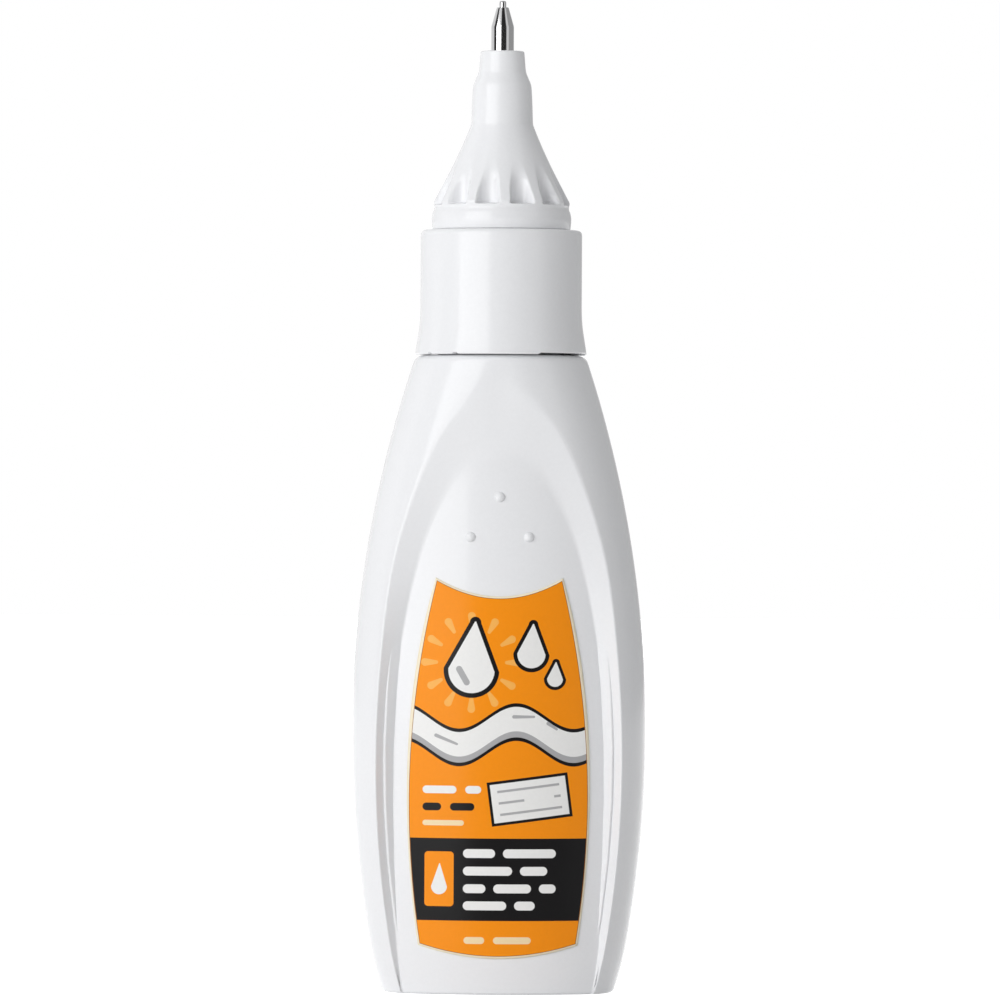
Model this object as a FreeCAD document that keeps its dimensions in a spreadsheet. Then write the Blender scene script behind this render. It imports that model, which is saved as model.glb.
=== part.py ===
import FreeCAD, Part
import math
import os
import re
import Sketcher
from FreeCAD import Vector

# A squeeze bottle of correction fluid, standing on its base.
# The screw collar holds a nose with a sprung metal point. Under the nose, a stem with a
# foam wedge hangs through the neck into the fluid.
# +Z is up, the front label faces -Y, and the origin is at the middle of the base.

# Sizes in millimetres. Heights are steps, each counted from the level that its name gives.
SIZES = {
    # Bottle body: flat in front and behind, with round flanks that follow one long side arc
    "belly_rise": 27.2,
    "belly_half_width": 15.6,
    "shoulder_half_flat": 0.05,
    "flank_radius": 8.5,
    "hip_rise": 15.8,
    "brow_rise": 12.0,
    "crown_rise": 9.0,
    "shoulder_rise": 3.4,
    "body_wall": 1.0,
    "base_wall": 1.6,
    "side_wall": 1.3,
    "hollow_round_radius": 18.0,
    "hollow_top_wall": 2.5,
    # Front and back panels: a rounded face inside an arched rim
    "heel_level": 9.0,
    "panel_sink": 0.6,
    "panel_round_radius": 22.0,
    "rim_inset_foot": 2.05,
    "rim_inset_heel": 2.35,
    "rim_inset_belly": 2.7,
    "rim_inset_hip": 2.9,
    "rim_inset_brow": 4.3,
    "slope_foot": 0.6,
    "slope_heel": 1.1,
    "slope_belly": 1.5,
    "slope_hip": 2.4,
    "slope_brow": 3.6,
    "brow_ramp": 6.5,
    "base_push_up": 0.6,
    "base_rim": 2.4,
    # Grip dots on the panels
    "dot_radius": 0.58,
    "dot_rise": 0.32,
    "dot_top_drop": 15.0,
    "dot_row_drop": 4.2,
    "dot_half_gap": 3.05,
    # Labels
    "label_film": 0.1,
    "label_foot_level": 5.2,
    "label_foot_gap": 1.6,
    "label_foot_sag": 1.35,
    "label_wide_level": 20.5,
    "label_side_gap": 1.75,
    "label_top_level": 43.9,
    "label_top_gap": 2.6,
    "label_top_dip": 1.95,
    # Neck and its thread
    "neck_rise": 10.0,
    "neck_radius": 6.55,
    "neck_bore_radius": 5.2,
    "thread_depth": 0.75,
    "thread_clearance": 0.15,
    # Wiper plug in the neck
    "wiper_flange": 0.6,
    "wiper_flange_inset": 0.15,
    "wiper_wall": 0.8,
    "wiper_rise": 6.2,
    "wiper_lip_radius": 3.5,
    "wiper_lip_height": 0.8,
    # Mixing ball
    "ball_radius": 1.25,
    # Seal ring
    "seal_thickness": 0.35,
    "seal_hole_radius": 5.3,
    "seal_radius": 6.9,
    # Screw collar
    "collar_wall": 1.11,
    "collar_roof": 1.2,
    "collar_roof_gap": 0.05,
    "collar_edge": 0.35,
    "collar_rim_gap": 0.2,
    "collar_flare": 0.54,
    "collar_flare_height": 3.4,
    "rim_relief_depth": 0.3,
    "rim_relief_start": 26.5,
    "rim_relief_angle": 56.0,
    "rim_relief_margin": 0.5,
    # Nose cone
    "nose_flange": 1.1,
    "nose_flange_radius": 7.0,
    "nose_groove_radius": 6.1,
    "nose_groove_gap": 0.08,
    "ring_lift": 0.2,
    "ring_radius": 7.42,
    "ring_height": 2.6,
    "ring_shoulder": 0.45,
    "cone_foot_radius": 7.25,
    "cone_waist_rise": 3.3,
    "cone_waist_radius": 5.55,
    "cone_rise": 7.5,
    "cone_top_radius": 3.85,
    "throat_step": 0.6,
    "throat_radius": 3.2,
    "throat_rise": 4.05,
    "snout_step": 1.3,
    "snout_radius": 2.45,
    "snout_rise": 2.3,
    "flute_count": 12,
    "flute_first_angle": 18.0,
    "flute_radius": 1.22,
    "flute_centre": 6.67,
    "flute_ledge_drop": 0.5,
    # Metal point
    "sleeve_radius": 1.2,
    "sleeve_bore_radius": 0.82,
    "sleeve_out": 2.6,
    "sleeve_taper": 2.05,
    "sleeve_lip_radius": 0.6,
    "sleeve_hole_radius": 0.42,
    "sleeve_lip": 0.3,
    "sleeve_in": 9.3,
    "sleeve_flange": 0.8,
    "sleeve_flange_radius": 1.9,
    "pin_radius": 0.375,
    "pin_out": 0.68,
    "pin_shaft_radius": 0.6,
    "pin_seat_gap": 0.04,
    "pin_collar_radius": 1.7,
    "pin_collar": 0.8,
    "pin_collar_gap": 0.3,
    "pin_tail": 1.6,
    # Spring
    "spring_wire": 0.3,
    "spring_coil_radius": 1.15,
    "spring_turns": 3.0,
    # Stem with the foam wedge
    "plug_radius": 4.4,
    "plug_rise": 4.65,
    "chamber_radius": 2.1,
    "stem_radius": 1.7,
    "stem_bore_radius": 0.8,
    "stem_length": 48.0,
    "stem_port_radius": 0.5,
    "stem_port_drop": 10.0,
    "holder_radius": 2.6,
    "holder_height": 6.0,
    "foam_half_width": 2.8,
    "foam_thickness": 2.8,
    "foam_length": 15.0,
    "foam_bevel": 4.0,
    "foam_socket": 5.0,
}

doc = FreeCAD.newDocument("correction_fluid_bottle")
sheet = doc.addObject("Spreadsheet::Sheet", "Sizes")
for row, (name, value) in enumerate(SIZES.items(), 1):
    sheet.set(f"A{row}", name)
    sheet.set(f"B{row}", str(value))
    sheet.setAlias(f"B{row}", name)
doc.recompute()

# Levels, each a sum of the steps below it
HIP = "(belly_rise + hip_rise)"
BROW = f"({HIP} + brow_rise)"
CROWN = f"({BROW} + crown_rise)"
SHOULDER = f"({CROWN} + shoulder_rise)"
NECK_TOP = f"({SHOULDER} + neck_rise)"
SEAL_FOOT = f"({NECK_TOP} + wiper_flange)"
NOSE_FOOT = f"({SEAL_FOOT} + seal_thickness)"
FLANGE_TOP = f"({NOSE_FOOT} + nose_flange)"
ROOF_FOOT = f"({FLANGE_TOP} + collar_roof_gap)"
COLLAR_TOP = f"({ROOF_FOOT} + collar_roof)"
COLLAR_FOOT = f"({SHOULDER} + collar_rim_gap)"
RING_FOOT = f"({COLLAR_TOP} + ring_lift)"
CONE_FOOT = f"({RING_FOOT} + ring_height + ring_shoulder)"
CONE_TOP = f"({CONE_FOOT} + cone_rise)"
THROAT_FOOT = f"({CONE_TOP} + throat_step)"
THROAT_TOP = f"({THROAT_FOOT} + throat_rise)"
SNOUT_FOOT = f"({THROAT_TOP} + snout_step)"
SNOUT_TOP = f"({SNOUT_FOOT} + snout_rise)"
SLEEVE_TOP = f"({SNOUT_TOP} + sleeve_out + sleeve_taper)"
SLEEVE_FOOT = f"({SNOUT_TOP} - sleeve_in)"
CHAMBER_TOP = f"({SLEEVE_FOOT} + sleeve_flange)"
PLUG_TOP = f"({NOSE_FOOT} + plug_rise)"
PIN_COLLAR_TOP = f"({SLEEVE_FOOT} - pin_collar_gap)"
PIN_COLLAR_FOOT = f"({PIN_COLLAR_TOP} - pin_collar)"
STEM_FOOT = f"({NOSE_FOOT} - stem_length)"
FOAM_TOP = f"({STEM_FOOT} + foam_socket)"
COLLAR_INSIDE = "(neck_radius + thread_depth + thread_clearance)"
COLLAR_RADIUS = f"({COLLAR_INSIDE} + collar_wall)"
PANEL_DEPTH = "(flank_radius - panel_sink)"


def mm(text):
    """The value of a size, or of a sum of sizes."""
    return float(sheet.evalExpression(text))


def bound(text):
    """The same sum of sizes, as an object outside the sheet writes it."""
    return re.sub(r"[a-z]\w+", lambda m: "Sizes." + m[0] if m[0] in SIZES else m[0], text)


def tie(thing, **sizes):
    """Binds an object's properties to sizes."""
    for prop, text in sizes.items():
        thing.setExpression(prop.replace("__", "."), bound(text))
    return thing


def add(kind, name, **sizes):
    """A new object of the document, with its properties bound to sizes."""
    return tie(doc.addObject(kind, name), **sizes)


def plane(body, role):
    """One of a body's own origin planes."""
    return next(o for o in body.Origin.OriginFeatures if o.Role == role)


def new_sketch(body, name, role):
    sketch = body.newObject("Sketcher::SketchObject", name)
    sketch.AttachmentSupport = [(plane(body, role), "")]
    sketch.MapMode = "FlatFace"
    return sketch


def outline(sketch, corners, arcs=None):
    """Draws a closed outline through corners, each two sums of sizes.

    arcs gives the radius of the side that follows a corner. A minus before it puts the
    arc's centre to the right of the way along the side, and no minus to the left.
    """
    arcs = arcs or {}
    places = [Vector(mm(x), mm(y), 0) for x, y in corners]
    for i, (p, q) in enumerate(zip(places, places[1:] + places[:1])):
        if i not in arcs:
            sketch.addGeometry(Part.LineSegment(p, q), False)
            continue
        radius = mm(arcs[i])
        along = q - p
        left = Vector(-along.y, along.x, 0).normalize()
        rise = math.sqrt(max(radius**2 - (along.Length / 2) ** 2, 0))
        centre = (p + q) * 0.5 + left * math.copysign(rise, radius)
        bulge = left * math.copysign(abs(radius) - rise, -radius)
        middle = (p + q) * 0.5 + bulge
        sketch.addGeometry(Part.Arc(p, middle, q), False)
    # an arc runs anticlockwise, so its ends are swapped where the outline turns the other way
    ends = {}
    for i, p in enumerate(places):
        start_first = (sketch.getPoint(i, 1) - p).Length < (sketch.getPoint(i, 2) - p).Length
        ends[i] = (1, 2) if start_first else (2, 1)
    count = len(corners)
    for i in range(count):
        after = (i + 1) % count
        sketch.addConstraint(Sketcher.Constraint("Coincident", i, ends[i][1], after, ends[after][0]))
    for i, (x, y) in enumerate(corners):
        for kind, axis, text in (("DistanceX", -2, x), ("DistanceY", -1, y)):
            if abs(mm(text)) < 1e-9:
                sketch.addConstraint(Sketcher.Constraint("PointOnObject", i, ends[i][0], axis))
                continue
            at = sketch.addConstraint(Sketcher.Constraint(kind, -1, 1, i, ends[i][0], mm(text)))
            sketch.setExpression(f"Constraints[{at}]", bound(text))
    for i, text in arcs.items():
        radius = text.lstrip("-")
        chord = (places[(i + 1) % count] - places[i]).Length
        if abs(chord - 2 * mm(radius)) < 1e-6:
            continue  # a half circle is already held by its two ends
        at = sketch.addConstraint(Sketcher.Constraint("Radius", i, mm(radius)))
        sketch.setExpression(f"Constraints[{at}]", bound(radius))
    return sketch


def circle(sketch, x, y, radius):
    """Draws a circle whose middle and radius are sums of sizes."""
    at = sketch.addGeometry(Part.Circle(Vector(mm(x), mm(y), 0), Vector(0, 0, 1), mm(radius)), False)
    for kind, axis, text in (("DistanceX", -2, x), ("DistanceY", -1, y)):
        if abs(mm(text)) < 1e-9:
            sketch.addConstraint(Sketcher.Constraint("PointOnObject", at, 3, axis))
            continue
        held = sketch.addConstraint(Sketcher.Constraint(kind, -1, 1, at, 3, mm(text)))
        sketch.setExpression(f"Constraints[{held}]", bound(text))
    held = sketch.addConstraint(Sketcher.Constraint("Radius", at, mm(radius)))
    sketch.setExpression(f"Constraints[{held}]", bound(radius))


def turn(name, corners, arcs=None):
    """A body turned about the vertical axis from an outline of radii and levels."""
    body = doc.addObject("PartDesign::Body", name)
    sketch = outline(new_sketch(body, name + "_outline", "XZ_Plane"), corners, arcs)
    turned = body.newObject("PartDesign::Revolution", name + "_turned")
    turned.Profile = sketch
    turned.ReferenceAxis = (sketch, ["V_Axis"])
    turned.Angle = 360
    return body


# Bottle: a flat core with a round flank on each side, whose tube follows a long arc. The two
# tubes all but meet in the middle at the shoulder.
TUBE_SWING = "(belly_half_width - flank_radius - shoulder_half_flat)"
TUBE_ARC = f"((({SHOULDER} - belly_rise)^2 + {TUBE_SWING}^2) / (2 * {TUBE_SWING}))"
SIDE_AXIS = f"(belly_half_width - flank_radius - {TUBE_ARC})"
SIDE_ARC = f"({TUBE_ARC} + flank_radius)"
FLANK_SWEEP = 60
REACH = 6.0


def tube_centre(level):
    """How far from the middle the flank's tube has its centre at a level."""
    return f"({SIDE_AXIS} + sqrt({TUBE_ARC}^2 - ({level} - belly_rise)^2))"


def side_half(level):
    """Half the body's width at a level."""
    return f"({SIDE_AXIS} + sqrt({SIDE_ARC}^2 - ({level} - belly_rise)^2))"


core = doc.addObject("PartDesign::Body", "core")
core_pad = core.newObject("PartDesign::Pad", "core_depth")
core_pad.Profile = outline(
    new_sketch(core, "core_front", "XZ_Plane"),
    [
        (f"(-{tube_centre('0')})", "0"),
        (tube_centre("0"), "0"),
        (tube_centre(SHOULDER), SHOULDER),
        (f"(-{tube_centre(SHOULDER)})", SHOULDER),
    ],
    {1: TUBE_ARC, 3: TUBE_ARC},
)
core_pad.SideType = "Symmetric"
tie(core_pad, Length="2 * flank_radius")
flank = doc.addObject("PartDesign::Body", "flank")
tube_section = outline(
    new_sketch(flank, "tube_section", "XY_Plane"),
    [(TUBE_ARC, "(-flank_radius)"), (TUBE_ARC, "flank_radius")],
    {0: "flank_radius"},
)
tube_bend = flank.newObject("PartDesign::Revolution", "tube_bend")
tube_bend.Profile = tube_section
tube_bend.ReferenceAxis = (tube_section, ["V_Axis"])
tube_bend.Midplane = True
tube_bend.Angle = FLANK_SWEEP
tie(flank, Placement__Base__x=SIDE_AXIS, Placement__Base__z="belly_rise")
other_flank = doc.addObject("Part::Mirroring", "other_flank")
other_flank.Source = flank
other_flank.Normal = Vector(1, 0, 0)
long_block = doc.addObject("Part::MultiFuse", "long_block")
long_block.Shapes = [core, flank, other_flank]
slab = add(
    "Part::Box",
    "slab",
    Length="4 * belly_half_width",
    Width="4 * flank_radius",
    Height=SHOULDER,
    Placement__Base__x="-2 * belly_half_width",
    Placement__Base__y="-2 * flank_radius",
)
body_block = doc.addObject("Part::Common", "body_block")
body_block.Base = long_block
body_block.Tool = slab


def free_form(name, shape):
    thing = doc.addObject("Part::Feature", name)
    thing.Shape = shape
    return thing


def panel_cylinder(name, extra):
    """A cylinder with the panel's face, its radius larger by an extra size."""
    return add(
        "Part::Cylinder",
        name,
        Radius=f"panel_round_radius + {extra}",
        Height=f"{CROWN} + {REACH}",
        Placement__Base__y=f"panel_round_radius - {PANEL_DEPTH}",
        Placement__Base__z=f"-{REACH}",
    )


panel_round = panel_cylinder("panel_round", "0")
film_round = panel_cylinder("film_round", "label_film")
doc.recompute()


def face_depth(shape, half_x, level):
    """How far forward a shape's front face lies at one place."""
    line = Part.makeLine(Vector(half_x, -2 * mm("belly_half_width"), level), Vector(half_x, 0, level))
    return min(v.Point.y for v in shape.common(line).Vertexes)


def arch(halves, levels, shape):
    """Points up the right side, over the top and down the left side, laid on a shape's face."""
    right = [Vector(x, face_depth(shape, x, z), z) for x, z in zip(halves, levels)]
    left = [Vector(-p.x, p.y, p.z) for p in reversed(right[:-1])]
    return right + left


def run_below(points, reach):
    """The same points, carried on below the foot at both ends."""
    first = points[0] + (points[0] - points[1]).normalize() * reach
    last = points[-1] + (points[-1] - points[-2]).normalize() * reach
    return [first] + points + [last]


RIM_LEVELS = {"foot": "0", "heel": "heel_level", "belly": "belly_rise", "hip": HIP, "brow": BROW}
rim_halves = {part: f"({side_half(level)} - rim_inset_{part})" for part, level in RIM_LEVELS.items()}
trough_halves = {part: f"({half} - slope_{part})" for part, half in rim_halves.items()}
side_levels = [mm(level) for level in RIM_LEVELS.values()]
rim = arch(
    [mm(half) for half in rim_halves.values()] + [0.0],
    side_levels + [mm(CROWN)],
    body_block.Shape,
)
trough = arch(
    [mm(half) for half in trough_halves.values()] + [0.0],
    side_levels + [mm(f"{CROWN} - brow_ramp")],
    panel_round.Shape,
)
rim = run_below(rim, REACH / 2)
trough = run_below(trough, REACH / 2)
stations = [0.0]
for (low_rim, low_trough), (high_rim, high_trough) in zip(zip(rim, trough), zip(rim[1:], trough[1:])):
    step = (high_rim + high_trough - low_rim - low_trough) / 2
    stations.append(stations[-1] + step.Length)


def arch_curve(points):
    curve = Part.BSplineCurve()
    curve.interpolate(Points=points, Parameters=stations)
    return curve.toShape()


# The slope between trough and rim is a ruled face. It starts a little below the panel and
# runs on past the rim, so that it crosses both faces cleanly.
SLOPE_START = 0.25
FLOOR_START = 0.12
RIM_OVERRUN = 1.6
slope_low = arch_curve([t - (r - t) * SLOPE_START for t, r in zip(trough, rim)])
slope_high = arch_curve([r + (r - t).normalize() * RIM_OVERRUN for t, r in zip(trough, rim)])
in_front = mm("belly_half_width") * 2
slope_face = Part.makeRuledSurface(slope_low, slope_high).Faces[0]
slope_tool = free_form("slope_tool", slope_face.extrude(Vector(0, -in_front, 0)))
floor_points = [t - (r - t) * FLOOR_START for t, r in zip(trough, rim)]
floor_arch = arch_curve([Vector(p.x, -in_front, p.z) for p in floor_points])
floor_ends = [vertex.Point for vertex in floor_arch.Vertexes]
floor_face = Part.Face(Part.Wire([floor_arch, Part.makeLine(floor_ends[1], floor_ends[0])]))
floor_tool = free_form("floor_tool", floor_face.extrude(Vector(0, in_front - mm("body_wall"), 0)))

front_tools = add("Part::MultiFuse", "front_tools")
front_tools.Shapes = [slope_tool, floor_tool]
front_recess = add("Part::Cut", "front_recess")
front_recess.Base = front_tools
front_recess.Tool = panel_round
back_recess = add("Part::Mirroring", "back_recess")
back_recess.Source = front_recess
back_recess.Normal = Vector(0, 1, 0)


def cut(name, base, *tools):
    """A chain of cuts, one for each tool."""
    for number, tool in enumerate(tools, 1):
        made = doc.addObject("Part::Cut", name if number == len(tools) else f"{name}_{number}")
        made.Base = base
        made.Tool = tool
        base = made
    return base


body_form = cut("body_form", body_block, front_recess, back_recess)
doc.recompute()

# Grip dots
dots = []
for side in (-1, 1):
    for name, half_gap, drop in (
        ("top", "0", "dot_top_drop"),
        ("left", "(-dot_half_gap)", "(dot_top_drop + dot_row_drop)"),
        ("right", "dot_half_gap", "(dot_top_drop + dot_row_drop)"),
    ):
        face = f"(sqrt(panel_round_radius^2 - {half_gap}^2) + {PANEL_DEPTH} - panel_round_radius)"
        dot = add(
            "Part::Cylinder",
            f"{name}_dot_{'front' if side < 0 else 'back'}",
            Radius="dot_radius",
            Height="body_wall / 2 + dot_rise",
        )
        dot.Placement.Rotation = FreeCAD.Rotation(Vector(0, 0, 1), Vector(0, side, 0))
        tie(
            dot,
            Placement__Base__x=half_gap,
            Placement__Base__y=f"{side} * ({face} - body_wall / 2)",
            Placement__Base__z=f"{SHOULDER} - {drop}",
        )
        dots.append(dot)

neck = turn(
    "neck",
    [
        ("0", f"({SHOULDER} - body_wall / 2)"),
        ("neck_radius", f"({SHOULDER} - body_wall / 2)"),
        ("neck_radius", NECK_TOP),
        ("0", NECK_TOP),
    ],
)

# Inside, the two panel faces lie one wall further in and run on to the side walls
inner_depth = f"({PANEL_DEPTH} - body_wall)"
hollow_top = f"({SHOULDER} - body_wall)"
hollow_top_half = "(flank_radius - hollow_top_wall)"
hollow_core = doc.addObject("PartDesign::Body", "hollow_core")
hollow_pad = hollow_core.newObject("PartDesign::Pad", "hollow_depth")
hollow_pad.Profile = outline(
    new_sketch(hollow_core, "hollow_front", "XZ_Plane"),
    [
        (f"(side_wall - {side_half('base_wall')})", "base_wall"),
        (f"({side_half('base_wall')} - side_wall)", "base_wall"),
        (f"({side_half(BROW)} - side_wall)", BROW),
        (hollow_top_half, hollow_top),
        (f"(-{hollow_top_half})", hollow_top),
        (f"(side_wall - {side_half(BROW)})", BROW),
    ],
    {1: SIDE_ARC, 5: SIDE_ARC},
)
hollow_pad.SideType = "Symmetric"
tie(hollow_pad, Length="2 * flank_radius")
hollow_rounds = []
for side, name in ((-1, "hollow_front_round"), (1, "hollow_back_round")):
    hollow_rounds.append(
        add(
            "Part::Cylinder",
            name,
            Radius="hollow_round_radius",
            Height=SHOULDER,
            Placement__Base__y=f"{side} * ({inner_depth} - hollow_round_radius)",
        )
    )
cavity = doc.addObject("Part::MultiCommon", "cavity")
cavity.Shapes = [hollow_core, *hollow_rounds]
neck_bore = add(
    "Part::Cylinder",
    "neck_bore",
    Radius="neck_bore_radius",
    Height="neck_rise + 3 * body_wall",
    Placement__Base__z=f"{SHOULDER} - 2 * body_wall",
)
push_up = add(
    "Part::Box",
    "push_up",
    Length=f"2 * ({rim_halves['foot']} - base_rim)",
    Width=f"2 * ({PANEL_DEPTH} - base_rim)",
    Height="2 * base_push_up",
    Placement__Base__x=f"base_rim - {rim_halves['foot']}",
    Placement__Base__y=f"base_rim - {PANEL_DEPTH}",
    Placement__Base__z="-base_push_up",
)
outside = doc.addObject("Part::MultiFuse", "outside")
outside.Shapes = [body_form, neck, *dots]
bottle = cut("bottle", outside, cavity, neck_bore, push_up)

# Labels: a thin film on each panel, cut a gap short of the trough round it
label_foot_half = f"({trough_halves['foot']} - label_foot_gap)"
label_wide_half = f"({trough_halves['belly']} - label_side_gap)"
label_top_half = f"({trough_halves['hip']} - label_top_gap)"
label_blank = doc.addObject("PartDesign::Body", "label_blank")
label_sketch = new_sketch(label_blank, "label_outline", "XZ_Plane")


def arc_radius(half_chord, sag):
    """The radius of an arc over half a chord, with a sag."""
    return f"(({half_chord}^2 + {sag}^2) / (2 * {sag}))"


label_low_side = arc_radius(
    "(label_wide_level - label_foot_level)", f"({label_wide_half} - {label_foot_half})"
)
label_high_side = arc_radius(
    "(label_top_level - label_wide_level)", f"({label_wide_half} - {label_top_half})"
)
outline(
    label_sketch,
    [
        (f"(-{label_foot_half})", "label_foot_level"),
        (label_foot_half, "label_foot_level"),
        (label_wide_half, "label_wide_level"),
        (label_top_half, "label_top_level"),
        (f"(-{label_top_half})", "label_top_level"),
        (f"(-{label_wide_half})", "label_wide_level"),
    ],
    {
        0: arc_radius(label_foot_half, "label_foot_sag"),
        1: label_low_side,
        2: label_high_side,
        3: "-" + arc_radius(label_top_half, "label_top_dip"),
        4: label_high_side,
        5: label_low_side,
    },
)
label_pad = label_blank.newObject("PartDesign::Pad", "label_pad")
label_pad.Profile = label_sketch
tie(label_pad, Length=f"2 * {PANEL_DEPTH}")
label_skin = cut("label_skin", film_round, panel_round)
front_label = doc.addObject("Part::Common", "front_label")
front_label.Base = label_blank
front_label.Tool = label_skin
back_label = doc.addObject("Part::Mirroring", "back_label")
back_label.Source = front_label
back_label.Normal = Vector(0, 1, 0)

# Wiper plug: pressed into the neck, its lip wipes the stem and foam
wiper_foot = f"({NECK_TOP} - wiper_rise)"
wiper_bore = "(neck_bore_radius - wiper_wall)"
neck_wiper = turn(
    "neck_wiper",
    [
        (wiper_bore, SEAL_FOOT),
        (wiper_bore, f"({wiper_foot} + wiper_lip_height)"),
        ("wiper_lip_radius", f"({wiper_foot} + wiper_lip_height)"),
        ("wiper_lip_radius", wiper_foot),
        ("neck_bore_radius", wiper_foot),
        ("neck_bore_radius", NECK_TOP),
        ("(neck_radius - wiper_flange_inset)", NECK_TOP),
        ("(neck_radius - wiper_flange_inset)", SEAL_FOOT),
    ],
)

# Mixing ball, which lies on the bottle's floor
mixing_ball = add(
    "Part::Sphere", "mixing_ball", Radius="ball_radius", Placement__Base__z="base_wall + ball_radius"
)

seal_ring = turn(
    "seal_ring",
    [
        ("seal_hole_radius", SEAL_FOOT),
        ("seal_radius", SEAL_FOOT),
        ("seal_radius", NOSE_FOOT),
        ("seal_hole_radius", NOSE_FOOT),
    ],
)

# Screw collar: it turns freely on the nose's groove and screws onto the neck
screw_collar = turn(
    "screw_collar",
    [
        (COLLAR_INSIDE, COLLAR_FOOT),
        (f"({COLLAR_RADIUS} + collar_flare)", COLLAR_FOOT),
        (COLLAR_RADIUS, f"({COLLAR_FOOT} + collar_flare_height)"),
        (COLLAR_RADIUS, f"({COLLAR_TOP} - collar_edge)"),
        (f"({COLLAR_RADIUS} - collar_edge)", COLLAR_TOP),
        ("(nose_groove_radius + nose_groove_gap)", COLLAR_TOP),
        ("(nose_groove_radius + nose_groove_gap)", ROOF_FOOT),
        (COLLAR_INSIDE, ROOF_FOOT),
    ],
)
doc.recompute()
relief_sketch = new_sketch(screw_collar, "rim_relief_outline", "XY_Plane")


relief_start = "(rim_relief_start - 90)"
relief_end = f"({relief_start} + rim_relief_angle)"
relief_inside = f"({COLLAR_INSIDE} - rim_relief_margin)"
relief_outside = f"({COLLAR_RADIUS} + collar_flare + rim_relief_margin)"


def on_circle(radius, angle):
    """The two coordinates of a point at an angle on a circle about the middle."""
    return f"({radius} * cos({angle} * 1 deg))", f"({radius} * sin({angle} * 1 deg))"


outline(
    relief_sketch,
    [
        on_circle(relief_inside, relief_start),
        on_circle(relief_outside, relief_start),
        on_circle(relief_outside, relief_end),
        on_circle(relief_inside, relief_end),
    ],
    {1: relief_outside, 3: "-" + relief_inside},
)
relief = screw_collar.newObject("PartDesign::Pocket", "rim_relief")
relief.Profile = relief_sketch
relief.Reversed = True
tie(relief, Length="rim_relief_depth")
tie(relief_sketch, AttachmentOffset__Base__z=COLLAR_FOOT)
reliefs = screw_collar.newObject("PartDesign::PolarPattern", "rim_reliefs")
reliefs.Originals = [relief]
reliefs.Axis = (relief_sketch, ["N_Axis"])
reliefs.Angle = 360
reliefs.Occurrences = 2
screw_collar.Tip = reliefs

# Nose cone: a ring for the cap, a fluted hollow cone, a throat and a snout
RING_TOP = f"({RING_FOOT} + ring_height)"
nose_cone = turn(
    "nose_cone",
    [
        ("plug_radius", NOSE_FOOT),
        ("nose_flange_radius", NOSE_FOOT),
        ("nose_flange_radius", FLANGE_TOP),
        ("nose_groove_radius", FLANGE_TOP),
        ("nose_groove_radius", RING_FOOT),
        ("ring_radius", RING_FOOT),
        ("ring_radius", RING_TOP),
        ("cone_foot_radius", CONE_FOOT),
        ("cone_waist_radius", f"({CONE_FOOT} + cone_waist_rise)"),
        ("cone_top_radius", CONE_TOP),
        ("throat_radius", THROAT_FOOT),
        ("throat_radius", THROAT_TOP),
        ("snout_radius", SNOUT_FOOT),
        ("snout_radius", SNOUT_TOP),
        ("sleeve_radius", SNOUT_TOP),
        ("sleeve_radius", CHAMBER_TOP),
        ("chamber_radius", CHAMBER_TOP),
        ("chamber_radius", PLUG_TOP),
        ("plug_radius", PLUG_TOP),
    ],
)
doc.recompute()
flute_sketch = new_sketch(nose_cone, "flute_outline", "XY_Plane")
circle(flute_sketch, *on_circle("flute_centre", "(flute_first_angle - 90)"), "flute_radius")
tie(flute_sketch, AttachmentOffset__Base__z=f"{CONE_FOOT} - flute_ledge_drop")
flute = nose_cone.newObject("PartDesign::Pocket", "flute")
flute.Profile = flute_sketch
flute.Reversed = True
tie(flute, Length="cone_rise")
flutes = nose_cone.newObject("PartDesign::PolarPattern", "flutes")
flutes.Originals = [flute]
flutes.Axis = (flute_sketch, ["N_Axis"])
flutes.Angle = 360
tie(flutes, Occurrences="flute_count")
nose_cone.Tip = flutes

# Metal sleeve: a drawn tube whose lip is rolled in round the pin
sleeve_lip_foot = f"({SLEEVE_TOP} - sleeve_lip)"
sleeve_taper_foot = f"({SLEEVE_TOP} - sleeve_taper)"
tip_sleeve = turn(
    "tip_sleeve",
    [
        ("sleeve_bore_radius", SLEEVE_FOOT),
        ("sleeve_flange_radius", SLEEVE_FOOT),
        ("sleeve_flange_radius", CHAMBER_TOP),
        ("sleeve_radius", CHAMBER_TOP),
        ("sleeve_radius", sleeve_taper_foot),
        ("sleeve_lip_radius", SLEEVE_TOP),
        ("sleeve_hole_radius", SLEEVE_TOP),
        ("sleeve_hole_radius", sleeve_lip_foot),
        ("sleeve_bore_radius", sleeve_taper_foot),
    ],
)

# Pin: pushed up by its spring, its shoulder closes the sleeve's taper until it is pressed on paper
sleeve_narrowing = f"((sleeve_bore_radius - sleeve_hole_radius) / (sleeve_taper - sleeve_lip))"
pin_shoulder = (
    f"({sleeve_taper_foot} + (sleeve_bore_radius - pin_shaft_radius - pin_seat_gap) / {sleeve_narrowing})"
)
tip_pin = turn(
    "tip_pin",
    [
        ("0", f"({PIN_COLLAR_FOOT} - pin_tail)"),
        ("pin_shaft_radius", f"({PIN_COLLAR_FOOT} - pin_tail)"),
        ("pin_shaft_radius", PIN_COLLAR_FOOT),
        ("pin_collar_radius", PIN_COLLAR_FOOT),
        ("pin_collar_radius", PIN_COLLAR_TOP),
        ("pin_shaft_radius", PIN_COLLAR_TOP),
        ("pin_shaft_radius", pin_shoulder),
        ("pin_radius", pin_shoulder),
        ("pin_radius", f"({SLEEVE_TOP} + pin_out)"),
        ("0", f"({SLEEVE_TOP} + pin_out)"),
    ],
)

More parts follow.
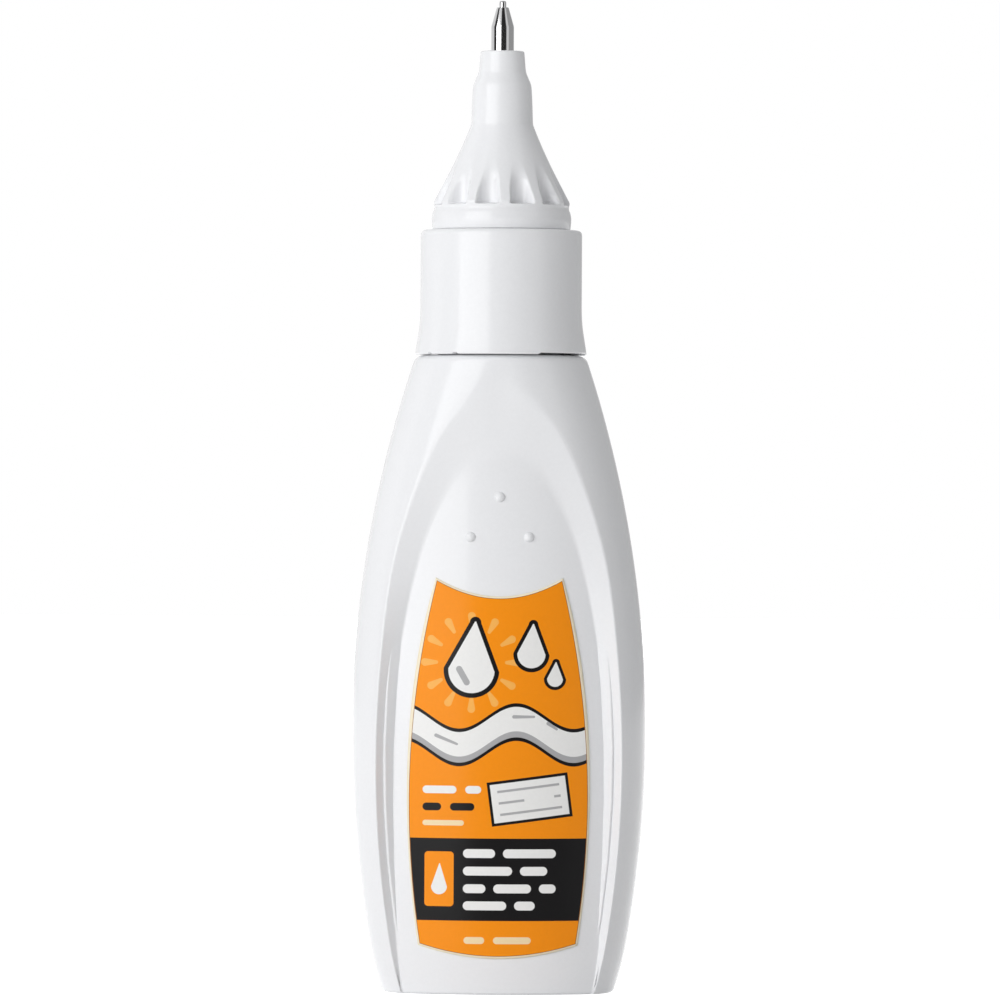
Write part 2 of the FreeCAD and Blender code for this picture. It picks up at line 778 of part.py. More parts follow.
# Spring between the stem's plug and the pin's collar
tip_spring = doc.addObject("PartDesign::Body", "tip_spring")
spring_space = f"({PIN_COLLAR_FOOT} - {PLUG_TOP} - spring_wire)"
spring_sketch = outline(
    new_sketch(tip_spring, "spring_wire_section", "XZ_Plane"),
    [
        ("(spring_coil_radius - spring_wire / 2)", PLUG_TOP),
        ("(spring_coil_radius + spring_wire / 2)", PLUG_TOP),
        ("(spring_coil_radius + spring_wire / 2)", f"({PLUG_TOP} + spring_wire)"),
        ("(spring_coil_radius - spring_wire / 2)", f"({PLUG_TOP} + spring_wire)"),
    ],
)
coils = tip_spring.newObject("PartDesign::AdditiveHelix", "spring_coils")
coils.Profile = spring_sketch
coils.ReferenceAxis = (spring_sketch, ["V_Axis"])
coils.Mode = "height-turns-angle"
tie(coils, Height=spring_space, Turns="spring_turns")

# Stem: a tube that hangs from its plug in the nose and ends in the foam's holder
holder_top = f"({STEM_FOOT} + holder_height)"
applicator_stem = turn(
    "applicator_stem",
    [
        ("stem_bore_radius", holder_top),
        ("stem_bore_radius", PLUG_TOP),
        ("plug_radius", PLUG_TOP),
        ("plug_radius", NOSE_FOOT),
        ("stem_radius", NOSE_FOOT),
        ("stem_radius", holder_top),
        ("holder_radius", holder_top),
        ("holder_radius", STEM_FOOT),
        ("0", STEM_FOOT),
        ("0", holder_top),
    ],
)
doc.recompute()
port_sketch = new_sketch(applicator_stem, "port_outline", "XZ_Plane")
circle(port_sketch, "0", f"({NOSE_FOOT} - stem_port_drop)", "stem_port_radius")
port = applicator_stem.newObject("PartDesign::Pocket", "fluid_port")
port.Profile = port_sketch
port.SideType = "Symmetric"
tie(port, Length="4 * stem_radius")
slot_sketch = outline(
    new_sketch(applicator_stem, "slot_outline", "YZ_Plane"),
    [
        ("(-foam_thickness / 2)", f"({STEM_FOOT} - foam_socket)"),
        ("(foam_thickness / 2)", f"({STEM_FOOT} - foam_socket)"),
        ("(foam_thickness / 2)", FOAM_TOP),
        ("(-foam_thickness / 2)", FOAM_TOP),
    ],
)
slot = applicator_stem.newObject("PartDesign::Pocket", "foam_slot")
slot.Profile = slot_sketch
slot.SideType = "Symmetric"
tie(slot, Length="4 * holder_radius")

# Foam wedge, glued in the holder's slot, with a chisel end
foam_foot = f"({FOAM_TOP} - foam_length)"
foam_wedge = doc.addObject("PartDesign::Body", "foam_wedge")
foam_sketch = outline(
    new_sketch(foam_wedge, "foam_side", "YZ_Plane"),
    [
        ("(-foam_thickness / 2)", foam_foot),
        ("(foam_thickness / 2)", f"({foam_foot} + foam_bevel)"),
        ("(foam_thickness / 2)", FOAM_TOP),
        ("(-foam_thickness / 2)", FOAM_TOP),
    ],
)
foam_pad = foam_wedge.newObject("PartDesign::Pad", "foam_block")
foam_pad.Profile = foam_sketch
foam_pad.SideType = "Symmetric"
tie(foam_pad, Length="2 * foam_half_width")
doc.recompute()

NODES = [
    bottle,
    front_label,
    back_label,
    neck_wiper,
    mixing_ball,
    seal_ring,
    screw_collar,
    nose_cone,
    tip_sleeve,
    tip_pin,
    tip_spring,
    applicator_stem,
    foam_wedge,
]

for thing in doc.Objects:
    if "Invalid" in thing.State or "Error" in thing.State:
        raise RuntimeError(f"{thing.Name} failed: {thing.State}")
os.makedirs("parts", exist_ok=True)
for node in NODES:
    if node.Shape.isNull() or not node.Shape.isValid():
        raise RuntimeError(f"{node.Name} has no valid shape")
for node in NODES:
    node.Shape.exportStep(f"parts/{node.Label}.step")
    print(node.Label, len(node.Shape.Solids), round(node.Shape.Volume, 3))
print("height", round(mm(f"{SLEEVE_TOP} + pin_out"), 3))
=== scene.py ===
import math

import bmesh
import bpy
import numpy as np
from mathutils import Matrix, Vector


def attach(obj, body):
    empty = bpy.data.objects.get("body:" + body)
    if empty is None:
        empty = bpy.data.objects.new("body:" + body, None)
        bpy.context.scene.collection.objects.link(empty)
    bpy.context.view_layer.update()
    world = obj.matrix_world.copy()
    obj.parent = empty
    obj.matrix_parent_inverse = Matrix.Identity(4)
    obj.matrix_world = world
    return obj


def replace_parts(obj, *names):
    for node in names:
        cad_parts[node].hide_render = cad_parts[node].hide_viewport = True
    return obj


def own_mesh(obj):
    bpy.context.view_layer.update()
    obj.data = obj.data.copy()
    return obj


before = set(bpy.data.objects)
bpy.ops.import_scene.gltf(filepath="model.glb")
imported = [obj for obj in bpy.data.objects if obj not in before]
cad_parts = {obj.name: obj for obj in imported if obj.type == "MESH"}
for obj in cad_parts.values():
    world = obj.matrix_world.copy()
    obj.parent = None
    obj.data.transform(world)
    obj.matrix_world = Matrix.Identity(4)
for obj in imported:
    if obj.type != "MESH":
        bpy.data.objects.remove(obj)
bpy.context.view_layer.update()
scene = bpy.context.scene
scene.view_settings.view_transform = "Standard"

# Bottle body. A blow-moulded squeeze bottle in white gloss plastic, with round flanks and a
# panel sunk into its front and back inside an arched, softly rounded rim. It is one piece
# with its neck, and hollow.
MM = 0.001
BELLY_LEVEL = 27.2
BELLY_HALF = 15.56
SIDE_ARC = 126.0
FLANK = 8.5
PANEL_DEPTH = 7.9
PANEL_ROUND = 22.0
SHOULDER = 67.4
# half width and level of the rim and of the trough inside it, up to the top of the arch
RIM = [
    (10.5, 0),
    (11.95, 9),
    (12.8, 18),
    (12.95, BELLY_LEVEL),
    (12.45, 36),
    (11.5, 44),
    (9.9, 50.4),
    (7.4, 57),
    (4.3, 61.7),
    (0, 64),
]
TROUGH = [
    (10.3, 0),
    (10.95, 9),
    (11.35, 18),
    (11.3, BELLY_LEVEL),
    (10.35, 37),
    (8.85, 44.6),
    (7.2, 49.8),
    (4.7, 54.7),
    (2.3, 57.0),
    (0, 57.7),
]
RIM_SOFT = 0.18
TROUGH_SOFT = 0.13
ARCH_POINTS = 240


def smooth_through(values, at):
    """A smooth curve through evenly spaced values, read at several places."""
    values = np.array(values, float)
    count = len(values)
    system = np.eye(count)
    right = np.zeros(count)
    for i in range(1, count - 1):
        system[i, i - 1 : i + 2] = (1, 4, 1)
        right[i] = 6 * (values[i + 1] - 2 * values[i] + values[i - 1])
    bend = np.linalg.solve(system, right)
    low = np.clip(np.floor(at).astype(int), 0, count - 2)
    up = at - low
    down = 1 - up
    return (
        (bend[low] * down**3 + bend[low + 1] * up**3) / 6
        + (values[low] - bend[low] / 6) * down
        + (values[low + 1] - bend[low + 1] / 6) * up
    )


def arch(stations):
    """Half widths and levels of many points along half an arch, from its foot to its top."""
    mirrored = stations + [(-x, z) for x, z in reversed(stations[:-1])]
    at = np.linspace(0, len(stations) - 1, ARCH_POINTS)
    half_widths = smooth_through([x for x, z in mirrored], at)
    return half_widths, smooth_through([z for x, z in mirrored], at)


def flank_depth(x, level):
    """How deep the body is without its panels."""
    reach = np.hypot(x - (BELLY_HALF - SIDE_ARC), level - BELLY_LEVEL) - (SIDE_ARC - FLANK)
    return np.sqrt(np.clip(FLANK**2 - np.clip(reach, 0, None) ** 2, 0, None))


def panel_depth(x):
    """How deep the body is at the panel's own shallow round face."""
    return np.sqrt(PANEL_ROUND**2 - x**2) - PANEL_ROUND + PANEL_DEPTH


rim_x, rim_z = arch(RIM)
trough_x, trough_z = arch(TROUGH)
rim_y = flank_depth(rim_x, rim_z)
trough_y = panel_depth(trough_x)
NO_CROSSING = 50


def slope_depth(x, level):
    """The slope from the trough up to the rim, carried on past both.

    Straight rulings join the two arches, and each place is read from the two that it lies
    between.
    """
    across_x, across_z = rim_x - trough_x, rim_z - trough_z
    off_x, off_z = x[:, None] - trough_x, level[:, None] - trough_z
    side = off_x * across_z - off_z * across_x
    share = (off_x * across_x + off_z * across_z) / (across_x**2 + across_z**2)
    crossed = side[:, :-1] * side[:, 1:] <= 0
    near = np.abs(side) / np.hypot(across_x, across_z)
    cost = np.where(crossed, np.abs(share[:, :-1]), NO_CROSSING + near[:, :-1])
    best = cost.argmin(1)
    row = np.arange(len(x))
    first, second = np.abs(side[row, best]), np.abs(side[row, best + 1])
    blend = np.where(crossed[row, best], first / np.maximum(first + second, 1e-9), 0)
    share = share[row, best] * (1 - blend) + share[row, best + 1] * blend
    low = trough_y[best] * (1 - blend) + trough_y[best + 1] * blend
    high = rim_y[best] * (1 - blend) + rim_y[best + 1] * blend
    return low + share * (high - low)


def soft_min(a, b, width):
    """The lesser of two depths, rounded where the one passes the other."""
    return np.minimum(a, b) - np.clip(width - np.abs(a - b), 0, None) ** 2 / (4 * width)


def body_depth(x, level):
    """Half the body's depth at a place of its front or back."""
    inside = -soft_min(-panel_depth(x), -slope_depth(x, level), TROUGH_SOFT)
    return soft_min(flank_depth(x, level), inside, RIM_SOFT)


PARTING_LINE = 0.03
FLANK_LENGTH = FLANK * math.pi / 2
CREASE = 0.35
RIM_LEAST, TROUGH_LEAST = 5, 3
# steps of a section from the parting line to the middle, finest by the rim and the trough
STEPS = (28, 10, 8, 10, 34)


def body_section(level):
    """One turn of points round the body at a level, anticlockwise from the right."""
    axis = BELLY_HALF - SIDE_ARC
    rise = level - BELLY_LEVEL
    flat_start = axis + math.sqrt((SIDE_ARC - FLANK) ** 2 - rise**2)
    way_in = FLANK_LENGTH + flat_start
    marks = []
    for line_x, line_z, least in ((rim_x, rim_z, RIM_LEAST), (trough_x, trough_z, TROUGH_LEAST)):
        x = max(np.interp(level, line_z, line_x), least)
        cosine = (math.hypot(x - axis, rise) - (SIDE_ARC - FLANK)) / FLANK
        marks.append(FLANK * math.acos(min(cosine, 1)) if cosine > 0 else way_in - x)
    ends = (0, marks[0] - CREASE, marks[0] + CREASE, marks[1] - CREASE, marks[1] + CREASE, way_in)
    along = [0]
    for start, end, count in zip(ends, ends[1:], STEPS):
        along.extend(np.linspace(start, end, count + 1)[1:])
    along = np.array(along)
    reach = SIDE_ARC - FLANK + FLANK * np.cos(np.minimum(along, FLANK_LENGTH) / FLANK)
    x = axis + np.sqrt(reach**2 - rise**2) - np.maximum(along - FLANK_LENGTH, 0)
    y = body_depth(x, np.full(len(x), float(level)))
    y[0] = 0
    x[0] += PARTING_LINE
    quarter = np.stack([x, y], 1)
    half = np.concatenate([quarter, quarter[-2::-1] * (-1, 1)])
    return np.concatenate([half, half[-2::-1] * (1, -1)])


def drawn_in(section, inset):
    """A section drawn in by an inset, towards the upright axis."""
    length = np.linalg.norm(section, axis=1, keepdims=True)
    return section * (1 - inset / length)


def circle_like(section, radius):
    """The section's own points moved onto a circle."""
    return section / np.linalg.norm(section, axis=1, keepdims=True) * radius


def at_level(section, level):
    """A section's points at their level."""
    return [(x, y, level) for x, y in section]


def finished(form, name):
    """Makes a mesh object from a form, with its faces outwards and smooth."""
    bmesh.ops.recalc_face_normals(form, faces=form.faces)
    mesh = bpy.data.meshes.new(name)
    form.to_mesh(mesh)
    form.free()
    for face in mesh.polygons:
        face.use_smooth = True
    made = bpy.data.objects.new(name, mesh)
    scene.collection.objects.link(made)
    return made


def layered(rows, name):
    """A closed skin through rows of points, each one turn round the upright axis."""
    around = len(rows[0]) - 1
    form = bmesh.new()
    bmesh.ops.create_grid(form, x_segments=around, y_segments=len(rows) - 1, size=0.5)
    for vertex in form.verts:
        turn = round((vertex.co.x + 0.5) * around)
        step = round((vertex.co.y + 0.5) * (len(rows) - 1))
        vertex.co = Vector(rows[step][turn]) * MM
    bmesh.ops.remove_doubles(form, verts=form.verts, dist=2e-6)
    bmesh.ops.dissolve_degenerate(form, edges=form.edges, dist=1e-7)
    return finished(form, name)


FOOT_ROUND = 0.35
FOOT_STEPS = 6
FOOT_DRAW = 0.35
FOOT_HIGH = 6.0


def foot_draw(level):
    """How far the body draws in just above the table."""
    return FOOT_DRAW * max(0, 1 - level / FOOT_HIGH) ** 2


CENTRE = 0.0001
PUSH_UP = 0.6
rows = []
foot = body_section(0)
# the base from its middle outwards, as shares of the foot's outline
for share, lift in (
    (CENTRE, PUSH_UP),
    (0.3, PUSH_UP),
    (0.6, PUSH_UP),
    (0.66, 0.5),
    (0.72, 0.12),
    (0.76, 0),
):
    rows.append(at_level(foot * share, lift))
for step in range(FOOT_STEPS + 1):
    angle = math.pi / 2 * step / FOOT_STEPS
    inset = FOOT_ROUND * (1 - math.sin(angle))
    lift = FOOT_ROUND * (1 - math.cos(angle))
    rows.append(at_level(drawn_in(body_section(lift), inset + foot_draw(lift)), lift))

SHOULDER_ROUND = 0.75
SHOULDER_STEPS = 8
# where sections start and end and how far apart they are, closest at the tops of the arches
for start, end, apart in (
    (0.8, 6, 0.4),
    (6, 52, 0.65),
    (52, 57, 0.3),
    (57, 58.3, 0.1),
    (58.3, 63.2, 0.3),
    (63.2, 64.6, 0.12),
    (64.6, SHOULDER - SHOULDER_ROUND, 0.3),
):
    for level in np.arange(start, end, apart):
        rows.append(at_level(drawn_in(body_section(level), foot_draw(level)), level))
for step in range(1, SHOULDER_STEPS + 1):
    angle = math.pi / 2 * step / SHOULDER_STEPS
    level = SHOULDER - SHOULDER_ROUND * (1 - math.sin(angle))
    inset = SHOULDER_ROUND * (1 - math.cos(angle))
    rows.append(at_level(drawn_in(body_section(level), inset), level))

NECK = 6.55
NECK_MIDDLE = 72
NECK_TOP = 77.4
NECK_BORE = 5.2
NECK_ROOT = 0.4
LIP = 0.3
EDGE = 0.1
HOLLOW_TOP = 66.4
shoulder_section = body_section(SHOULDER)
# the neck from its root up, over its lip and down its bore
for radius, level in (
    (NECK + NECK_ROOT, SHOULDER),
    (NECK + EDGE, SHOULDER + EDGE),
    (NECK, SHOULDER + NECK_ROOT),
    (NECK, NECK_MIDDLE),
    (NECK, NECK_TOP - LIP),
    (NECK - EDGE, NECK_TOP - EDGE),
    (NECK - LIP, NECK_TOP),
    (NECK_BORE + EDGE, NECK_TOP),
    (NECK_BORE, NECK_TOP - EDGE),
    (NECK_BORE, HOLLOW_TOP),
):
    rows.append(at_level(circle_like(shoulder_section, radius), level))

WALL = 1.1
FOOT_WALL = 1.2
SHOULDER_WALL = 1.6
HOLLOW_SHOULDER = 66
FLOOR = 1.6
# the hollow, from its shoulder down to its floor
rows.append(at_level(drawn_in(body_section(HOLLOW_SHOULDER), SHOULDER_WALL), HOLLOW_SHOULDER))
for level in (63, 59, 55, 50, 44, 38, 32, 26, 20, 14, 8, 3):
    rows.append(at_level(drawn_in(body_section(level), WALL), level))
inside_foot = drawn_in(body_section(2), FOOT_WALL)
for share, level in ((0.97, 1.9), (0.9, FLOOR), (0.4, FLOOR), (CENTRE, FLOOR)):
    rows.append(at_level(inside_foot * share, level))
bottle_body = layered(rows, "bottle_body")


def moulding_group():
    """Faint unevenness of a moulded skin, as a tint mask, a roughness and a normal."""
    group = bpy.data.node_groups.new("moulded skin", "ShaderNodeTree")
    for name, value in (
        ("Wave size", 120),
        ("Wave height", 0.02),
        ("Grain size", 3000),
        ("Grain height", 0.02),
        ("Roughness low", 0.2),
        ("Roughness high", 0.3),
    ):
        socket = group.interface.new_socket(name=name, in_out="INPUT", socket_type="NodeSocketFloat")
        socket.default_value = value
    for name, kind in (("Tint", "Float"), ("Roughness", "Float"), ("Normal", "Vector")):
        group.interface.new_socket(name=name, in_out="OUTPUT", socket_type="NodeSocket" + kind)
    nodes, links = group.nodes, group.links
    given = nodes.new("NodeGroupInput")
    out = nodes.new("NodeGroupOutput")
    place = nodes.new("ShaderNodeTexCoord")
    wave = nodes.new("ShaderNodeTexNoise")
    wave.inputs["Detail"].default_value = 2
    grain = nodes.new("ShaderNodeTexNoise")
    grain.inputs["Detail"].default_value = 3
    links.new(place.outputs["Object"], wave.inputs["Vector"])
    links.new(place.outputs["Object"], grain.inputs["Vector"])
    links.new(given.outputs["Wave size"], wave.inputs["Scale"])
    links.new(given.outputs["Grain size"], grain.inputs["Scale"])
    rough = nodes.new("ShaderNodeMapRange")
    links.new(wave.outputs["Fac"], rough.inputs["Value"])
    rough.inputs["From Min"].default_value = 0.35
    rough.inputs["From Max"].default_value = 0.65
    links.new(given.outputs["Roughness low"], rough.inputs["To Min"])
    links.new(given.outputs["Roughness high"], rough.inputs["To Max"])
    slow = nodes.new("ShaderNodeBump")
    slow.inputs["Distance"].default_value = 0.001
    links.new(given.outputs["Wave height"], slow.inputs["Strength"])
    links.new(wave.outputs["Fac"], slow.inputs["Height"])
    fine = nodes.new("ShaderNodeBump")
    fine.inputs["Distance"].default_value = 0.0001
    links.new(given.outputs["Grain height"], fine.inputs["Strength"])
    links.new(grain.outputs["Fac"], fine.inputs["Height"])
    links.new(slow.outputs["Normal"], fine.inputs["Normal"])
    links.new(grain.outputs["Fac"], out.inputs["Tint"])
    links.new(rough.outputs["Result"], out.inputs["Roughness"])
    links.new(fine.outputs["Normal"], out.inputs["Normal"])
    return group


moulded_skin = moulding_group()


def new_material(name):
    """A material with its nodes, its links and its shader."""
    material = bpy.data.materials.new(name)
    material.use_nodes = True
    tree = material.node_tree
    return material, tree.nodes, tree.links, tree.nodes["Principled BSDF"]


def two_tone(nodes, links, shader, mask, dark, light):
    """Lets a mask choose between two tones for the shader's colour."""
    tone = nodes.new("ShaderNodeMix")
    tone.data_type = "RGBA"
    tone.inputs["A"].default_value = (*dark, 1)
    tone.inputs["B"].default_value = (*light, 1)
    links.new(mask, tone.inputs["Factor"])
    links.new(tone.outputs["Result"], shader.inputs["Base Color"])


def moulded_plastic(name, light, dark, rough, grain=0.02, coat=0.0):
    """A moulded plastic whose colour drifts between two near tones."""
    material, nodes, links, shader = new_material(name)
    skin = nodes.new("ShaderNodeGroup")
    skin.node_tree = moulded_skin
    skin.inputs["Roughness low"].default_value = rough[0]
    skin.inputs["Roughness high"].default_value = rough[1]
    skin.inputs["Grain height"].default_value = grain
    two_tone(nodes, links, shader, skin.outputs["Tint"], dark, light)
    links.new(skin.outputs["Roughness"], shader.inputs["Roughness"])
    links.new(skin.outputs["Normal"], shader.inputs["Normal"])
    shader.inputs["Specular IOR Level"].default_value = 0.22
    shader.inputs["Coat Weight"].default_value = coat
    shader.inputs["Coat Roughness"].default_value = 0.06
    return material


WHITE = (0.835, 0.842, 0.86)
WHITE_LOW = (0.795, 0.802, 0.82)
bottle_white = moulded_plastic("white gloss bottle plastic", WHITE, WHITE_LOW, (0.11, 0.17), coat=0.05)
bottle_body.data.materials.append(bottle_white)
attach(bottle_body, "bottle")
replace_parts(bottle_body, "bottle")

# Grip dots. Three small domes above each label, moulded into the panel in one shot with the
# body. They tell the thumb where to squeeze.
DOT_RADIUS = 0.58
DOT_SINK = 0.2
DOT_PLACES = ((0, 52.4), (-3.05, 48.2), (3.05, 48.2))
dot_form = bmesh.new()
for side in (-1, 1):
    for x, level in DOT_PLACES:
        depth = float(panel_depth(x)) - DOT_SINK
        bmesh.ops.create_uvsphere(
            dot_form,
            u_segments=32,
            v_segments=20,
            radius=DOT_RADIUS * MM,
            matrix=Matrix.Translation(Vector((x, side * depth, level)) * MM),
        )
grip_dots = finished(dot_form, "grip_dots")
grip_dots.data.materials.append(bottle_white)
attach(grip_dots, "bottle")

# Neck thread. A ridge of two turns that winds up the neck, moulded with it. The collar's own
# ridge bears on its underside.
LEAD = 2.117
THREAD_TURNS = 2
THREAD_STEPS = 64
THREAD_BITE = 0.12
FADE_OVER = 0.25
FADE_PAST = 0.15
FADE_LEAST = 0.02


def thread(name, root, crest, root_half, crest_half, level):
    """A right-hand ridge between two radii, whose ends fade into the wall."""
    form = bmesh.new()
    bite = root - THREAD_BITE * (crest - root)
    corners = ((bite, -root_half), (crest, -crest_half), (crest, crest_half), (bite, root_half))
    ring = [form.verts.new(Vector((r, 0, level + h)) * MM) for r, h in corners]
    face = form.faces.new(ring)
    bmesh.ops.spin(
        form,
        geom=[face, *face.edges, *face.verts],
        cent=(0, 0, 0),
        axis=(0, 0, 1),
        dvec=(0, 0, LEAD * MM / THREAD_STEPS),
        angle=2 * math.pi * THREAD_TURNS,
        steps=THREAD_TURNS * THREAD_STEPS,
        use_merge=False,
    )
    for vertex in form.verts:
        radius = math.hypot(vertex.co.x, vertex.co.y)
        climbed = (vertex.co.z - level * MM) / (LEAD * MM)
        fade_in = max(FADE_LEAST, (climbed + FADE_PAST) / FADE_OVER)
        fade_out = max(FADE_LEAST, (THREAD_TURNS - climbed + FADE_PAST) / FADE_OVER)
        wanted = bite * MM + (radius - bite * MM) * min(1, fade_in, fade_out)
        vertex.co.x *= wanted / radius
        vertex.co.y *= wanted / radius
    return finished(form, name)


neck_thread = thread(
    "neck_thread",
    root=NECK,
    crest=NECK + 0.72,
    root_half=0.55,
    crest_half=0.25,
    level=SHOULDER + 3.3,
)
neck_thread.data.materials.append(bottle_white)
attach(neck_thread, "bottle")

# Labels. A printed gloss film on each panel, die-cut to the panel's shape with a dipped top
# edge. The print is plain shapes: an orange field, a thin cream border, drops, bars and a
# black band.
LABEL_FOOT, LABEL_WIDE_LEVEL, LABEL_TOP = 5.2, 20.5, 43.9
LABEL_FOOT_HALF, LABEL_HALF, LABEL_TOP_HALF = 8.4, 9.65, 6.7
LABEL_FOOT_IN = LABEL_HALF - LABEL_FOOT_HALF
LABEL_TOP_IN = LABEL_HALF - LABEL_TOP_HALF
LABEL_SAG = 1.35
LABEL_DIP = 1.95
PRINT_EDGE = 0.03


class Sheet:
    """Builds a print from plain shapes, drawn on a label's width and height in millimetres.

    A shape is a measure of how far outside it each place lies, and is negative inside.
    """

    def __init__(self, name, reading_way=1):
        self.material, self.nodes, self.links, self.shader = new_material(name)
        place = self.nodes.new("ShaderNodeTexCoord")
        split = self.nodes.new("ShaderNodeSeparateXYZ")
        self.links.new(place.outputs["Object"], split.inputs[0])
        self.x = self.maths("MULTIPLY", split.outputs["X"], 1000 * reading_way)
        self.z = self.maths("MULTIPLY", split.outputs["Z"], 1000)
        self.color = PALE_CREAM

    def maths(self, kind, *values):
        """The result of a maths node on sockets or numbers."""
        node = self.nodes.new("ShaderNodeMath")
        node.operation = kind
        for socket, value in zip(node.inputs, values):
            if hasattr(value, "links"):
                self.links.new(value, socket)
            else:
                socket.default_value = value
        return node.outputs[0]

    def length(self, across, up):
        """How long a way across and up is."""
        across_square = self.maths("MULTIPLY", across, across)
        square = self.maths("ADD", across_square, self.maths("MULTIPLY", up, up))
        return self.maths("SQRT", square)

    def stroke(self, start, end, first_radius, last_radius=None):
        """A stroke with round ends. It can taper."""
        along = (end[0] - start[0], end[1] - start[1])
        dx = self.maths("SUBTRACT", self.x, start[0])
        dz = self.maths("SUBTRACT", self.z, start[1])
        along_x = self.maths("MULTIPLY", dx, along[0])
        dot = self.maths("ADD", along_x, self.maths("MULTIPLY", dz, along[1]))
        share = self.maths("DIVIDE", dot, along[0] ** 2 + along[1] ** 2)
        share = self.maths("MINIMUM", self.maths("MAXIMUM", share, 0), 1)
        dx = self.maths("SUBTRACT", dx, self.maths("MULTIPLY", share, along[0]))
        dz = self.maths("SUBTRACT", dz, self.maths("MULTIPLY", share, along[1]))
        away = self.maths("SUBTRACT", self.length(dx, dz), first_radius)
        if last_radius is None:
            return away
        return self.maths("SUBTRACT", away, self.maths("MULTIPLY", share, last_radius - first_radius))

    def panel(self, middle, half, lean, corner=0.0):
        """A leaning rectangle, whose corners can be round."""
        c, q = math.cos(lean), math.sin(lean)
        dx = self.maths("SUBTRACT", self.x, middle[0])
        dz = self.maths("SUBTRACT", self.z, middle[1])
        across = self.maths("ADD", self.maths("MULTIPLY", dx, c), self.maths("MULTIPLY", dz, q))
        up = self.maths("SUBTRACT", self.maths("MULTIPLY", dz, c), self.maths("MULTIPLY", dx, q))
        across = self.maths("SUBTRACT", self.maths("ABSOLUTE", across), half[0] - corner)
        up = self.maths("SUBTRACT", self.maths("ABSOLUTE", up), half[1] - corner)
        if not corner:
            return self.maths("MAXIMUM", across, up)
        outer = self.length(self.maths("MAXIMUM", across, 0), self.maths("MAXIMUM", up, 0))
        inner = self.maths("MINIMUM", self.maths("MAXIMUM", across, up), 0)
        return self.maths("SUBTRACT", self.maths("ADD", outer, inner), corner)

    def inside(self, shape):
        """One inside a shape and nothing outside, with a soft printed edge."""
        depth = self.maths("DIVIDE", shape, -PRINT_EDGE)
        return self.maths("MINIMUM", self.maths("MAXIMUM", depth, 0), 1)

    def paint(self, shape, color, within=None):
        """Prints a shape in a colour over what is there, and only within a mask if given."""
        mask = self.inside(shape)
        if within is not None:
            mask = self.maths("MULTIPLY", mask, within)
        mix = self.nodes.new("ShaderNodeMix")
        mix.data_type = "RGBA"
        self.links.new(mask, mix.inputs["Factor"])
        for socket, value in ((mix.inputs["A"], self.color), (mix.inputs["B"], color)):
            if hasattr(value, "links"):
                self.links.new(value, socket)
            else:
                socket.default_value = (*value, 1)
        self.color = mix.outputs["Result"]


ORANGE = (0.95, 0.29, 0.006)
LIGHT_ORANGE = (0.95, 0.46, 0.10)
CREAM = (0.90, 0.72, 0.45)
PALE_CREAM = (0.93, 0.84, 0.64)
BROWN = (0.34, 0.13, 0.02)
INK = (0.004, 0.0035, 0.004)
PAPER = (0.86, 0.86, 0.85)
GREY = (0.42, 0.42, 0.43)
BORDER = 0.2
BORDER_AND_LINE = 0.27


def label_field(sheet):
    """Prints the orange field inside its cream border, and gives the field's mask."""
    low_arc = (LABEL_WIDE_LEVEL - LABEL_FOOT) ** 2 / (2 * LABEL_FOOT_IN) + LABEL_FOOT_IN / 2
    high_arc = (LABEL_TOP - LABEL_WIDE_LEVEL) ** 2 / (2 * LABEL_TOP_IN) + LABEL_TOP_IN / 2
    low_bend, high_bend = 0.5 / low_arc, 0.5 / high_arc
    above = sheet.maths("SUBTRACT", sheet.z, LABEL_WIDE_LEVEL)
    square = sheet.maths("MULTIPLY", above, above)
    upper = sheet.maths("GREATER_THAN", above, 0)
    bend = sheet.maths("ADD", sheet.maths("MULTIPLY", upper, high_bend - low_bend), low_bend)
    edge = sheet.maths("SUBTRACT", LABEL_HALF, sheet.maths("MULTIPLY", square, bend))
    side = sheet.maths("SUBTRACT", sheet.maths("ABSOLUTE", sheet.x), edge)
    x_square = sheet.maths("MULTIPLY", sheet.x, sheet.x)
    rise = sheet.maths("MULTIPLY", x_square, LABEL_DIP / LABEL_TOP_HALF**2)
    crown = sheet.maths("SUBTRACT", sheet.z, sheet.maths("ADD", rise, LABEL_TOP - LABEL_DIP))
    rise = sheet.maths("MULTIPLY", x_square, LABEL_SAG / LABEL_FOOT_HALF**2)
    heel = sheet.maths("SUBTRACT", sheet.maths("ADD", rise, LABEL_FOOT - LABEL_SAG), sheet.z)
    outline = sheet.maths("MAXIMUM", sheet.maths("MAXIMUM", side, crown), heel)
    sheet.paint(sheet.maths("ADD", outline, BORDER), BROWN)
    field = sheet.maths("ADD", outline, BORDER_AND_LINE)
    sheet.paint(field, ORANGE)
    return sheet.inside(field)


def outlined(sheet, shape, fill, line):
    """A shape filled with a colour inside an ink outline."""
    sheet.paint(sheet.maths("SUBTRACT", shape, line), INK)
    sheet.paint(shape, fill)


def bars(sheet, left, level, lengths, half, tone, space=0.9):
    """A row of plain bars, from the left."""
    for length in lengths:
        bar = sheet.stroke((left + half, level), (left + length - half, level), half)
        sheet.paint(bar, tone)
        left += length + space


BAND_LEVEL = 12.15
BAND_HALF = 4.35


def black_band(sheet, field):
    """A black band across the foot of the field."""
    away = sheet.maths("ABSOLUTE", sheet.maths("SUBTRACT", sheet.z, BAND_LEVEL))
    sheet.paint(sheet.maths("SUBTRACT", away, BAND_HALF), INK, field)


